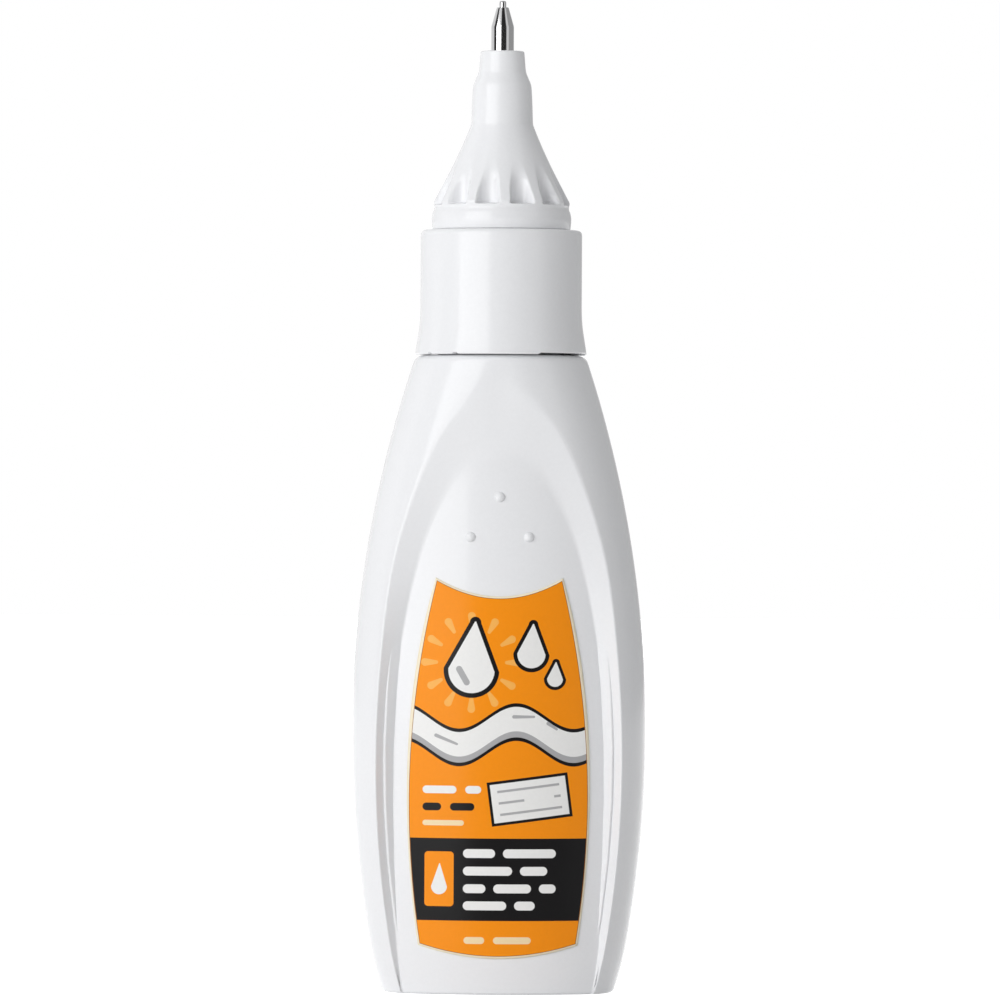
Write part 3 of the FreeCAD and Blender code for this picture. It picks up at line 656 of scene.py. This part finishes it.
def finish_print(sheet):
    """A gloss film over the ink, with a trace of dot grain in the colour."""
    skin = sheet.nodes.new("ShaderNodeGroup")
    skin.node_tree = moulded_skin
    skin.inputs["Roughness low"].default_value = 0.2
    skin.inputs["Roughness high"].default_value = 0.26
    skin.inputs["Wave height"].default_value = 0.004
    shade = sheet.nodes.new("ShaderNodeMix")
    shade.data_type = "RGBA"
    shade.blend_type = "MULTIPLY"
    shade.inputs["Factor"].default_value = 0.06
    sheet.links.new(sheet.color, shade.inputs["A"])
    sheet.links.new(skin.outputs["Tint"], shade.inputs["B"])
    sheet.links.new(shade.outputs["Result"], sheet.shader.inputs["Base Color"])
    sheet.links.new(skin.outputs["Roughness"], sheet.shader.inputs["Roughness"])
    sheet.links.new(skin.outputs["Normal"], sheet.shader.inputs["Normal"])
    sheet.shader.inputs["Specular IOR Level"].default_value = 0.12
    return sheet.material


front = Sheet("front label print")
field = label_field(front)
# a ring of pale rays behind a large drop
SUN_X, SUN_LEVEL = -2.9, 35.0
RAYS = 12
RAY_START, RAY_END = 3.7, 4.9
for step in range(RAYS):
    angle = math.pi / (RAYS / 2) * step
    way = (math.cos(angle), math.sin(angle))
    start = (SUN_X + RAY_START * way[0], SUN_LEVEL + RAY_START * way[1])
    end = (SUN_X + RAY_END * way[0], SUN_LEVEL + RAY_END * way[1])
    front.paint(front.stroke(start, end, 0.2, 0.42), LIGHT_ORANGE, field)
# the large drop and two small ones: low end, tip, the radius of both and the ink line
for low_end, tip, low_radius, tip_radius, line in (
    ((-2.9, 34.2), (-2.5, 39.2), 2.45, 0.12, 0.5),
    ((3.4, 35.9), (3.6, 39.0), 1.5, 0.1, 0.42),
    ((5.9, 33.3), (6.0, 35.0), 0.85, 0.08, 0.34),
):
    outlined(front, front.stroke(low_end, tip, low_radius, tip_radius), PAPER, line)
front.paint(front.stroke((-4.2, 34.3), (-3.4, 32.9), 0.34), GREY)
# a ribbon of fluid that waves from side to side: its ink line, its shade and its face
RIBBON_LEVEL = 27.4
RIBBON_SWING = 1.35
wave = front.maths("SINE", front.maths("ADD", front.maths("MULTIPLY", front.x, 0.52), 0.6))
swing = front.maths("MULTIPLY", wave, RIBBON_SWING)
for lift, half, tone in ((0, 2.0, INK), (0, 1.62, GREY), (0.32, 1.3, PAPER)):
    middle = front.maths("ADD", swing, RIBBON_LEVEL + lift)
    away = front.maths("ABSOLUTE", front.maths("SUBTRACT", front.z, middle))
    front.paint(front.maths("SUBTRACT", away, half), tone, field)
for start, end in (
    ((-6.6, 27.3), (-4.4, 26.4)),
    ((1.6, 29.3), (3.7, 29.3)),
    ((5.2, 28.6), (6.1, 28.0)),
):
    front.paint(front.stroke(start, end, 0.2, 0.14), GREY)
# a leaning sheet with ruled lines, one of them covered
SHEET_X, SHEET_LEVEL = 3.3, 20.6
SHEET_LEAN = 0.13
front.paint(front.panel((SHEET_X, SHEET_LEVEL), (4.3, 2.35), SHEET_LEAN), INK)
front.paint(front.panel((SHEET_X, SHEET_LEVEL), (4.0, 2.05), SHEET_LEAN), PAPER)
for step in (-1, 0, 1):
    middle = (SHEET_X - 0.16 * step, SHEET_LEVEL + 1.2 * step)
    front.paint(front.panel(middle, (3.3, 0.14), SHEET_LEAN), GREY)
front.paint(front.panel((4.3, 20.75), (1.6, 0.4), SHEET_LEAN, 0.3), PAPER)
bars(front, -8.0, 21.6, (3.6, 1.7), 0.42, PAPER)
bars(front, -8.0, 19.8, (2.0, 2.6), 0.42, INK)
bars(front, -8.0, 18.1, (4.4,), 0.3, CREAM)
# a drop on an orange plate and rows of bars on the black band
black_band(front, field)
front.paint(front.panel((-6.2, 12.2), (1.55, 2.9), 0, 0.4), ORANGE)
front.paint(front.stroke((-6.2, 11.4), (-6.15, 13.8), 0.85, 0.06), PAPER)
for level, lengths in (
    (14.9, (3.4, 5.6)),
    (13.05, (5.2, 2.9)),
    (11.2, (2.4, 4.0, 1.8)),
    (9.4, (4.6, 2.2)),
):
    bars(front, -3.7, level, lengths, 0.48, PAPER, 0.8)
bars(front, -3.6, 5.75, (2.2, 4.0), 0.38, CREAM)
front_print = finish_print(front)

back = Sheet("back label print", -1)
field = label_field(back)
back.paint(back.panel((0, 27.4), (6.6, 9.4), 0, 0.8), PAPER)
PLATE_ROWS = (
    (5.0, 3.0, 2.6),
    (2.8, 4.4, 3.2),
    (4.6, 2.0, 3.9),
    (3.4, 5.0),
    (6.0, 2.2, 2.0),
    (2.6, 3.4, 3.8),
    (4.8, 4.6),
    (3.0, 2.4),
)
for step, lengths in enumerate(PLATE_ROWS):
    bars(back, -5.9, 35.0 - 2.15 * step, lengths, 0.3, GREY, 0.6)
black_band(back, field)
for level, lengths in ((14.6, (4.4, 3.2, 3.6)), (12.2, (2.8, 5.6, 2.2)), (9.8, (5.2, 2.4))):
    bars(back, -6.4, level, lengths, 0.42, PAPER, 0.8)
back_print = finish_print(back)

FILM_THICK = 0.09
FILM_LIFT = 0.1


def label_film(name, side, material):
    """The film as a fine curved sheet of its own thickness, on the front or the back panel."""
    form = bmesh.new()
    bmesh.ops.create_grid(form, x_segments=64, y_segments=120, size=0.5)
    low_fall = LABEL_FOOT_IN / (LABEL_WIDE_LEVEL - LABEL_FOOT) ** 2
    high_fall = LABEL_TOP_IN / (LABEL_TOP - LABEL_WIDE_LEVEL) ** 2
    for vertex in form.verts:
        share = vertex.co.y + 0.5
        past = LABEL_FOOT + share * (LABEL_TOP - LABEL_FOOT) - LABEL_WIDE_LEVEL
        fall = low_fall if past < 0 else high_fall
        x = vertex.co.x * 2 * (LABEL_HALF - fall * past**2)
        foot = LABEL_FOOT - LABEL_SAG * (1 - (x / LABEL_FOOT_HALF) ** 2)
        top = LABEL_TOP - LABEL_DIP * (1 - (x / LABEL_TOP_HALF) ** 2)
        depth = float(panel_depth(x)) + FILM_LIFT
        vertex.co = Vector((x, side * depth, foot + share * (top - foot))) * MM
    bmesh.ops.recalc_face_normals(form, faces=form.faces)
    if form.faces[:][0].normal.y * side < 0:
        bmesh.ops.reverse_faces(form, faces=form.faces)
    bmesh.ops.solidify(form, geom=form.faces[:], thickness=FILM_THICK * MM)
    film = finished(form, name)
    film.data.materials.append(material)
    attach(film, "bottle")
    return film


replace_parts(label_film("front_label_film", -1, front_print), "front_label")
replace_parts(label_film("back_label_film", 1, back_print), "back_label")

# Neck wiper and seal ring. The wiper is a natural, slightly waxy plug pressed into the neck,
# with a thin lip. The ring of foam sheet seals the nose on it.


def dress(node, material):
    """Gives a solid of the frame its finish."""
    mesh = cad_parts[node].data
    mesh.materials.clear()
    mesh.materials.append(material)


WIPER = (0.74, 0.74, 0.70)
WIPER_LOW = (0.70, 0.70, 0.66)
SEAL = (0.76, 0.76, 0.74)
SEAL_LOW = (0.62, 0.62, 0.60)
wiper_plastic = moulded_plastic("natural wiper plastic", WIPER, WIPER_LOW, (0.35, 0.5), 0.05)
seal_sheet = moulded_plastic("foam seal sheet", SEAL, SEAL_LOW, (0.7, 0.85), 0.6)
dress("neck_wiper", wiper_plastic)
dress("seal_ring", seal_sheet)

# Steel pieces. The ball and the pin are hard polished steel, the sleeve is a drawn tube whose
# end is tapered and rolled in round the pin, and the spring is drawn wire.
LONGEST_CUT = 0.45


def turned(name, outline, steps):
    """A form turned from an outline of radii and levels in millimetres."""
    form = bmesh.new()
    line = [form.verts.new(Vector((r, 0, z)) * MM) for r, z in outline]
    edges = [form.edges.new(pair) for pair in zip(line, line[1:])]
    if outline[0][0] and outline[-1][0]:
        edges.append(form.edges.new((line[-1], line[0])))
    bmesh.ops.spin(
        form,
        geom=[*line, *edges],
        cent=(0, 0, 0),
        axis=(0, 0, 1),
        dvec=(0, 0, 0),
        angle=2 * math.pi,
        steps=steps,
        use_merge=True,
    )
    bmesh.ops.remove_doubles(form, verts=form.verts, dist=1e-6)
    return finished(form, name)


def rounded(corners, steps=5):
    """An outline whose corners are rounded. A corner is radius, level and how much to round."""
    line = []
    count = len(corners)
    closed = corners[0][0] > 0 and corners[-1][0] > 0
    for i, (r, z, cut) in enumerate(corners):
        here = Vector((r, z))
        if not cut or (not closed and i in (0, count - 1)):
            line.append((r, z))
            continue
        before = Vector(corners[i - 1][:2]) - here
        after = Vector(corners[(i + 1) % count][:2]) - here
        first = here + before.normalized() * min(cut, before.length * LONGEST_CUT)
        last = here + after.normalized() * min(cut, after.length * LONGEST_CUT)
        for k in range(steps + 1):
            t = k / steps
            point = first * (1 - t) ** 2 + here * 2 * t * (1 - t) + last * t**2
            line.append((point.x, point.y))
    return line


def bumped(nodes, links, shader, height, strength, distance):
    """Lets a mask raise fine relief on the shader's surface."""
    bump = nodes.new("ShaderNodeBump")
    bump.inputs["Strength"].default_value = strength
    bump.inputs["Distance"].default_value = distance
    links.new(height, bump.inputs["Height"])
    links.new(bump.outputs["Normal"], shader.inputs["Normal"])


def metal(name, tone, rough, streak, streak_scale=(1, 1, 1)):
    """A bright metal with a fine grain, drawn out into streaks by its scale."""
    material, nodes, links, shader = new_material(name)
    place = nodes.new("ShaderNodeTexCoord")
    stretch = nodes.new("ShaderNodeMapping")
    stretch.inputs["Scale"].default_value = streak_scale
    noise = nodes.new("ShaderNodeTexNoise")
    noise.inputs["Scale"].default_value = 900
    noise.inputs["Detail"].default_value = 4
    links.new(place.outputs["Object"], stretch.inputs["Vector"])
    links.new(stretch.outputs["Vector"], noise.inputs["Vector"])
    two_tone(nodes, links, shader, noise.outputs["Fac"], [value * 0.82 for value in tone], tone)
    span = nodes.new("ShaderNodeMapRange")
    span.inputs["To Min"].default_value = rough[0]
    span.inputs["To Max"].default_value = rough[1]
    links.new(noise.outputs["Fac"], span.inputs["Value"])
    links.new(span.outputs["Result"], shader.inputs["Roughness"])
    bumped(nodes, links, shader, noise.outputs["Fac"], streak, 0.00002)
    shader.inputs["Metallic"].default_value = 1
    return material


polished_steel = metal("polished steel", (0.72, 0.72, 0.73), (0.06, 0.1), 0.05)
drawn_steel = metal("drawn steel tube", (0.66, 0.66, 0.67), (0.08, 0.14), 0.15, (1, 1, 0.05))
dress("mixing_ball", polished_steel)

SLEEVE_FOOT = 90.4
SLEEVE_SEAT = 91.2
SLEEVE_TAPER = 102.3
SLEEVE_TOP = 104.35
SLEEVE_FLANGE = 1.9
SLEEVE_OUT = 1.2
SLEEVE_BORE = 0.82
SLEEVE_HOLE = 0.42
tip_sleeve = turned(
    "tip_sleeve_tube",
    rounded(
        [
            (SLEEVE_BORE, SLEEVE_FOOT, 0),
            (SLEEVE_FLANGE, SLEEVE_FOOT, 0.1),
            (SLEEVE_FLANGE, SLEEVE_SEAT, 0.1),
            (SLEEVE_OUT, SLEEVE_SEAT, 0.05),
            (SLEEVE_OUT, SLEEVE_TAPER, 0.12),
            (0.62, SLEEVE_TOP, 0.14),
            (SLEEVE_HOLE, SLEEVE_TOP - 0.02, 0.08),
            (SLEEVE_HOLE, SLEEVE_TOP - 0.3, 0),
            (SLEEVE_BORE, SLEEVE_TAPER, 0),
        ]
    ),
    72,
)
tip_sleeve.data.materials.append(drawn_steel)
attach(tip_sleeve, "applicator")
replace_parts(tip_sleeve, "tip_sleeve")

PIN_FOOT = 87.7
PIN_SHOULDER = 89.3
PIN_SHOULDER_TOP = 90.1
PIN_TAPER, PIN_TAPER_TOP = 102.26, 104.01
PIN_TOP = 105.03
PIN_ROD = 0.6
PIN_SHOULDER_OUT = 1.7
PIN_END = 0.375
tip_pin = turned(
    "tip_pin_rod",
    rounded(
        [
            (0, PIN_FOOT, 0),
            (PIN_ROD, PIN_FOOT, 0.1),
            (PIN_ROD, PIN_SHOULDER, 0),
            (PIN_SHOULDER_OUT, PIN_SHOULDER, 0.1),
            (PIN_SHOULDER_OUT, PIN_SHOULDER_TOP, 0.1),
            (PIN_ROD, PIN_SHOULDER_TOP, 0),
            (PIN_ROD, PIN_TAPER, 0.2),
            (PIN_END, PIN_TAPER_TOP, 0.1),
            (PIN_END, PIN_TOP, 0.3),
            (0, PIN_TOP, 0),
        ]
    ),
    56,
)
tip_pin.data.materials.append(polished_steel)
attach(tip_pin, "pin")
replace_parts(tip_pin, "tip_pin")

SPRING_FOOT = 83.0
SPRING_TOP = PIN_SHOULDER
SPRING_COIL = 1.15
SPRING_WIRE = 0.15
SPRING_TURNS = 6
SPRING_STEPS = SPRING_TURNS * 40
wire = bmesh.new()
wire_start = Matrix.Translation(Vector((SPRING_COIL, 0, SPRING_FOOT + SPRING_WIRE)) * MM)
bmesh.ops.create_circle(
    wire,
    segments=14,
    radius=SPRING_WIRE * MM,
    cap_ends=True,
    matrix=wire_start @ Matrix.Rotation(math.pi / 2, 4, "X"),
)
climb = (SPRING_TOP - SPRING_FOOT - 2 * SPRING_WIRE) * MM
bmesh.ops.spin(
    wire,
    geom=wire.verts[:] + wire.edges[:] + wire.faces[:],
    cent=(0, 0, 0),
    axis=(0, 0, 1),
    dvec=(0, 0, climb / SPRING_STEPS),
    angle=2 * math.pi * SPRING_TURNS,
    steps=SPRING_STEPS,
    use_merge=False,
)
tip_spring = finished(wire, "tip_spring_coil")
tip_spring.data.materials.append(polished_steel)
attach(tip_spring, "applicator")
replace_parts(tip_spring, "tip_spring")
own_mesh(tip_spring)

# Screw collar. A plain white skirt moulded in gloss plastic, with a flared rim that is cut
# back on two arcs. It turns in the nose's groove and carries a ridge inside for the neck.
COLLAR_FOOT = 67.45
COLLAR_ROOF = 79.5
COLLAR_TOP = 80.7
COLLAR_HOLE = 6.2
COLLAR_IN = 7.45
COLLAR_OUT = 8.56
COLLAR_RIM = 9.1
FLARE_TOP = 71.0
collar_outline = rounded(
    [
        (COLLAR_IN, COLLAR_FOOT, 0.1),
        (COLLAR_RIM, COLLAR_FOOT, 0.22),
        (9.02, COLLAR_FOOT + 0.7, 0.3),
        (COLLAR_OUT, FLARE_TOP, 1.6),
        (COLLAR_OUT, COLLAR_TOP, 0.6),
        (COLLAR_HOLE, COLLAR_TOP, 0.1),
        (COLLAR_HOLE, COLLAR_ROOF, 0),
        (COLLAR_IN, COLLAR_ROOF, 0),
    ],
    8,
)
# angles run anticlockwise from the right, and the front is at 270 degrees or -90
FULL_TURN = 2 * math.pi
RELIEF_DEPTH = 0.16
RELIEF_HIGH = 1
RELIEF_FADE = 0.7
RELIEF_START = math.radians(26.5 - 90)
RELIEF_ANGLE = math.radians(56)
RELIEF_END = math.radians(1.2)
NOTCHES = (math.radians(270 - 32.5), math.radians(270 - 56.5))
NOTCH_HALF = math.radians(1.6)
NOTCH_DEPTH = 0.14
angles = np.linspace(0, FULL_TURN, 361)
past_start = (angles - RELIEF_START) % math.pi
depth_in = np.minimum(past_start, RELIEF_ANGLE - past_start) / RELIEF_END
relief = RELIEF_DEPTH * np.clip(depth_in, 0, 1)
for notch in NOTCHES:
    away = np.abs((angles - notch + math.pi) % FULL_TURN - math.pi)
    relief = np.maximum(relief, NOTCH_DEPTH * (away < NOTCH_HALF))
rows = []
for r, z in collar_outline + collar_outline[:1]:
    lift = relief * min(1, max(0, (COLLAR_FOOT + RELIEF_HIGH - z) / RELIEF_FADE))
    rows.append(np.stack([r * np.cos(angles), r * np.sin(angles), z + lift], 1))
screw_collar = layered(rows, "collar_skirt")
closure_white = moulded_plastic("white gloss closure plastic", WHITE, WHITE_LOW, (0.14, 0.2), coat=0.05)
screw_collar.data.materials.append(closure_white)
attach(screw_collar, "collar")
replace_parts(screw_collar, "screw_collar")
collar_thread = thread(
    "collar_thread",
    root=COLLAR_IN,
    crest=COLLAR_IN - 0.68,
    root_half=0.5,
    crest_half=0.22,
    level=SHOULDER + 2.45,
)
collar_thread.data.materials.append(closure_white)
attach(collar_thread, "collar")

# Nose. A white cone with a ring at its foot for the cap to sit on, twelve flutes for grip, a
# throat and a snout that holds the metal sleeve.
NOSE_FOOT = 78.35
GROOVE_LOW, GROOVE_HIGH = 79.45, 80.74
GROOVE_RADIUS = 6.1
FLANGE = 7.0
RING = 7.42
SNOUT_TOP = 99.7
PLUG_BORE, PLUG_BORE_TOP = 4.4, 83.0
CHAMBER = 2.1
nose_outline = rounded(
    [
        (PLUG_BORE, NOSE_FOOT, 0),
        (FLANGE, NOSE_FOOT, 0.1),
        (FLANGE, GROOVE_LOW, 0.1),
        (GROOVE_RADIUS, GROOVE_LOW, 0.1),
        (GROOVE_RADIUS, GROOVE_HIGH, 0),
        (7.3, GROOVE_HIGH, 0.1),
        (RING, 81.85, 0.8),
        (7.32, 82.5, 0.4),
        (7.12, 82.9, 0.3),
        (7.18, 83.3, 0.1),
        (7.22, 83.6, 0.15),
        (6.46, 85.06, 0.8),
        (5.42, 87.05, 1.2),
        (4.36, 89.3, 1.2),
        (3.74, 90.75, 0.8),
        (3.28, 91.9, 0.3),
        (3.19, 94.6, 1.0),
        (3.09, 96.1, 0.4),
        (2.5, 97.45, 0.4),
        (2.35, 99.3, 0.5),
        (2.3, SNOUT_TOP, 0.25),
        (SLEEVE_OUT, SNOUT_TOP, 0),
        (SLEEVE_OUT, SLEEVE_SEAT, 0),
        (CHAMBER, SLEEVE_SEAT, 0),
        (CHAMBER, PLUG_BORE_TOP, 0),
        (PLUG_BORE, PLUG_BORE_TOP, 0),
    ],
    6,
)
FLUTES = 12
FLUTE_FIRST = math.radians(18 - 90)
FLUTE_CENTRE = 6.67
FLUTE_RADIUS = 1.12
FLUTE_WALL_BACK = 0.1
FLUTE_WALL_STEEP = 6
FLUTE_EDGE_SOFT = 0.1
FLUTE_SOFTER_UP = 0.125
LEDGE = 83.3
LEDGE_EASE = 0.18
FLUTED_FOOT, FLUTED_TOP = 83.2, 92
FLUTED_LEAST = 3.22
ROW_STEP = 0.14
fine_outline = []
for (r, z), (next_r, next_z) in zip(nose_outline, nose_outline[1:] + nose_outline[:1]):
    low, high = min(z, next_z), max(z, next_z)
    fluted = low > FLUTED_FOOT and high < FLUTED_TOP and min(r, next_r) > FLUTED_LEAST
    count = max(1, math.ceil(math.hypot(next_r - r, next_z - z) / ROW_STEP)) if fluted else 1
    for k in range(count):
        fine_outline.append((r + (next_r - r) * k / count, z + (next_z - z) * k / count))
AROUND = FLUTES * 28
angles = np.linspace(0, FULL_TURN, AROUND + 1)
off = (angles - FLUTE_FIRST + math.pi / FLUTES) % (FULL_TURN / FLUTES) - math.pi / FLUTES
root = FLUTE_RADIUS**2 - (FLUTE_CENTRE * np.sin(off)) ** 2
in_flute = FLUTE_CENTRE * np.cos(off) - np.sqrt(np.clip(root, 0, None))
# past the flute's side the wall stands up steeply, so that its edge is rounded in the same way
past_side = np.abs(np.sin(off)) * FLUTE_CENTRE - FLUTE_RADIUS
past_flute = FLUTE_CENTRE - FLUTE_WALL_BACK + past_side * FLUTE_WALL_STEEP
flute = np.where(root > 0, in_flute, past_flute)
rows = []
for r, z in fine_outline + fine_outline[:1]:
    depth = np.full(AROUND + 1, r)
    if FLUTED_LEAST < r and LEDGE < z < FLUTED_TOP:
        above = z - LEDGE
        cut = soft_min(depth, flute, FLUTE_EDGE_SOFT + FLUTE_SOFTER_UP * above)
        depth = depth + (cut - depth) * min(1, above / LEDGE_EASE)
    rows.append(np.stack([depth * np.cos(angles), depth * np.sin(angles), np.full(AROUND + 1, z)], 1))
nose_cone = layered(rows, "nose_body")
nose_cone.data.materials.append(closure_white)
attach(nose_cone, "applicator")
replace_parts(nose_cone, "nose_cone")

# Stem. A slim tube moulded in white plastic with a holder at its end. It hangs from its plug
# in the nose.
STEM = (0.80, 0.80, 0.80)
STEM_LOW = (0.74, 0.74, 0.74)
dress("applicator_stem", moulded_plastic("white stem plastic", STEM, STEM_LOW, (0.3, 0.42), 0.05))

# Foam wedge. A block of fine open foam with a chisel end, glued in the holder's slot, a
# little swollen where it comes out.
FOAM_FOOT, FOAM_TOP = 20.35, 35.35
FOAM_HALF = 2.8
FOAM_THICK = 1.4
FOAM_BEVEL = 4.0
FOAM_EDGE = 0.25
HOLDER_END = 30.35
foam_form = bmesh.new()
bmesh.ops.create_cube(foam_form, size=1)
bmesh.ops.subdivide_edges(foam_form, edges=foam_form.edges, cuts=11, use_grid_fill=True)
for vertex in foam_form.verts:
    x, y, z = vertex.co * 2
    level = FOAM_FOOT + (z + 1) / 2 * (FOAM_TOP - FOAM_FOOT)
    low = FOAM_FOOT + (y + 1) / 2 * FOAM_BEVEL
    level = low + (level - FOAM_FOOT) * (FOAM_TOP - low) / (FOAM_TOP - FOAM_FOOT)
    squeeze = 1 - 0.05 * x**4 - (0.04 if level > HOLDER_END else 0)
    vertex.co = Vector((x * FOAM_HALF, y * FOAM_THICK * squeeze, level)) * MM
foam_wedge = finished(foam_form, "foam_applicator")
edges = foam_wedge.modifiers.new("edges", "BEVEL")
edges.width = FOAM_EDGE * MM
edges.segments = 2
edges.limit_method = "ANGLE"
edges.angle_limit = math.radians(50)
foam_skin, nodes, links, shader = new_material("open foam")
place = nodes.new("ShaderNodeTexCoord")
cells = nodes.new("ShaderNodeTexVoronoi")
cells.inputs["Scale"].default_value = 2600
links.new(place.outputs["Object"], cells.inputs["Vector"])
# the foam is painted darker at the middle of each cell, where the bump sinks into a pore: painted shade
# in the pores
two_tone(nodes, links, shader, cells.outputs["Distance"], (0.34, 0.33, 0.31), (0.74, 0.73, 0.69))
bumped(nodes, links, shader, cells.outputs["Distance"], 0.8, 0.0002)
shader.inputs["Roughness"].default_value = 0.95
foam_wedge.data.materials.append(foam_skin)
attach(foam_wedge, "applicator")
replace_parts(foam_wedge, "foam_wedge")

# Setting. A pale floor and a plain white surround, one large soft light from the left front,
# and a long lens at half the object's height.
FLOOR_HALF = 3
FLOOR_TONE = (0.86, 0.86, 0.86, 1)
FLOOR_GLOW = 0.86


def rays_of(nodes, links, *kinds):
    """One for rays of the given kinds and nothing for the others."""
    path = nodes.new("ShaderNodeLightPath")
    seen = path.outputs[kinds[0]]
    for kind in kinds[1:]:
        either = nodes.new("ShaderNodeMath")
        either.operation = "MAXIMUM"
        links.new(seen, either.inputs[0])
        links.new(path.outputs[kind], either.inputs[1])
        seen = either.outputs[0]
    return seen


floor_form = bmesh.new()
bmesh.ops.create_grid(floor_form, x_segments=1, y_segments=1, size=FLOOR_HALF)
floor = finished(floor_form, "floor")
floor_paint, nodes, links, shader = new_material("pale floor")
shader.inputs["Base Color"].default_value = FLOOR_TONE
shader.inputs["Roughness"].default_value = 0.9
shown = rays_of(nodes, links, "Is Camera Ray", "Is Glossy Ray", "Is Transmission Ray")
glow = nodes.new("ShaderNodeMath")
glow.operation = "MULTIPLY"
glow.inputs[1].default_value = FLOOR_GLOW
links.new(shown, glow.inputs[0])
shader.inputs["Emission Color"].default_value = (1, 1, 1, 1)
links.new(glow.outputs[0], shader.inputs["Emission Strength"])
floor.data.materials.append(floor_paint)

world = bpy.data.worlds.new("plain surround")
scene.world = world
world.use_nodes = True
nodes, links = world.node_tree.nodes, world.node_tree.links
backdrop = nodes["Background"]
way = nodes.new("ShaderNodeTexCoord")
split = nodes.new("ShaderNodeSeparateXYZ")
links.new(way.outputs["Generated"], split.inputs[0])
# the light of the room itself, a little stronger behind the bottle, and plain white to the eye
ambient = nodes.new("ShaderNodeMapRange")
ambient.inputs["From Min"].default_value = -0.1
ambient.inputs["From Max"].default_value = 0.8
ambient.inputs["To Min"].default_value = 0.43
ambient.inputs["To Max"].default_value = 0.8
links.new(split.outputs["Y"], ambient.inputs["Value"])
level = nodes.new("ShaderNodeMix")
level.inputs["B"].default_value = 1.0
links.new(rays_of(nodes, links, "Is Camera Ray", "Is Transmission Ray"), level.inputs["Factor"])
links.new(ambient.outputs["Result"], level.inputs["A"])
# what gloss mirrors, by degrees round from behind the camera: a white room, dark behind the
# camera, with a dark card at its left and greyer at its right
ROOM = (
    (-180, 0.95),
    (-97, 0.95),
    (-94, 0.04),
    (-66, 0.04),
    (-63, 0.9),
    (-16, 0.9),
    (-13, 0.03),
    (39, 0.03),
    (42, 0.9),
    (64, 0.9),
    (68, 0.45),
    (165, 0.45),
    (180, 0.95),
)
front_way = nodes.new("ShaderNodeMath")
front_way.operation = "MULTIPLY"
front_way.inputs[1].default_value = -1
links.new(split.outputs["Y"], front_way.inputs[0])
turn = nodes.new("ShaderNodeMath")
turn.operation = "ARCTAN2"
links.new(split.outputs["X"], turn.inputs[0])
links.new(front_way.outputs[0], turn.inputs[1])
share = nodes.new("ShaderNodeMapRange")
share.inputs["From Min"].default_value = -math.pi
share.inputs["From Max"].default_value = math.pi
links.new(turn.outputs[0], share.inputs["Value"])
room = nodes.new("ShaderNodeValToRGB")
stops = room.color_ramp.elements
for degrees, _ in ROOM[1:-1]:
    stops.new((degrees + 180) / 360)
for stop, (degrees, strength) in zip(stops, ROOM):
    stop.position = (degrees + 180) / 360
    stop.color = (strength, strength, strength, 1)
links.new(share.outputs["Result"], room.inputs["Fac"])
choose = nodes.new("ShaderNodeMix")
links.new(rays_of(nodes, links, "Is Glossy Ray"), choose.inputs["Factor"])
links.new(level.outputs["Result"], choose.inputs["A"])
links.new(room.outputs["Color"], choose.inputs["B"])
backdrop.inputs["Color"].default_value = (1, 1, 1, 1)
links.new(choose.outputs["Result"], backdrop.inputs["Strength"])

KEY_PLACE = Vector((-0.482, -0.575, 0.16))
KEY_AIM = Vector((0, 0, 0.055))
key_data = bpy.data.lights.new("key", "AREA")
key_data.shape = "RECTANGLE"
key_data.size = 0.62
key_data.size_y = 0.75
key_data.energy = 5.2
key = bpy.data.objects.new("key", key_data)
key.location = KEY_PLACE
key.rotation_euler = (KEY_AIM - KEY_PLACE).to_track_quat("-Z", "Y").to_euler()
scene.collection.objects.link(key)

CAMERA_AWAY = 0.95
CAMERA_HIGH = 0.0521
CAMERA_ROLL = math.radians(-0.32)
FRAME_WIDE = 0.10606
SENSOR = 36
camera_data = bpy.data.cameras.new("camera")
camera_data.sensor_width = SENSOR
camera_data.lens = SENSOR * CAMERA_AWAY / FRAME_WIDE
camera_data.clip_start = 0.05
camera_data.clip_end = 20
camera = bpy.data.objects.new("camera", camera_data)
camera.location = (0, -CAMERA_AWAY, CAMERA_HIGH)
camera.rotation_euler = (math.pi / 2, CAMERA_ROLL, 0)
scene.collection.objects.link(camera)
scene.camera = camera
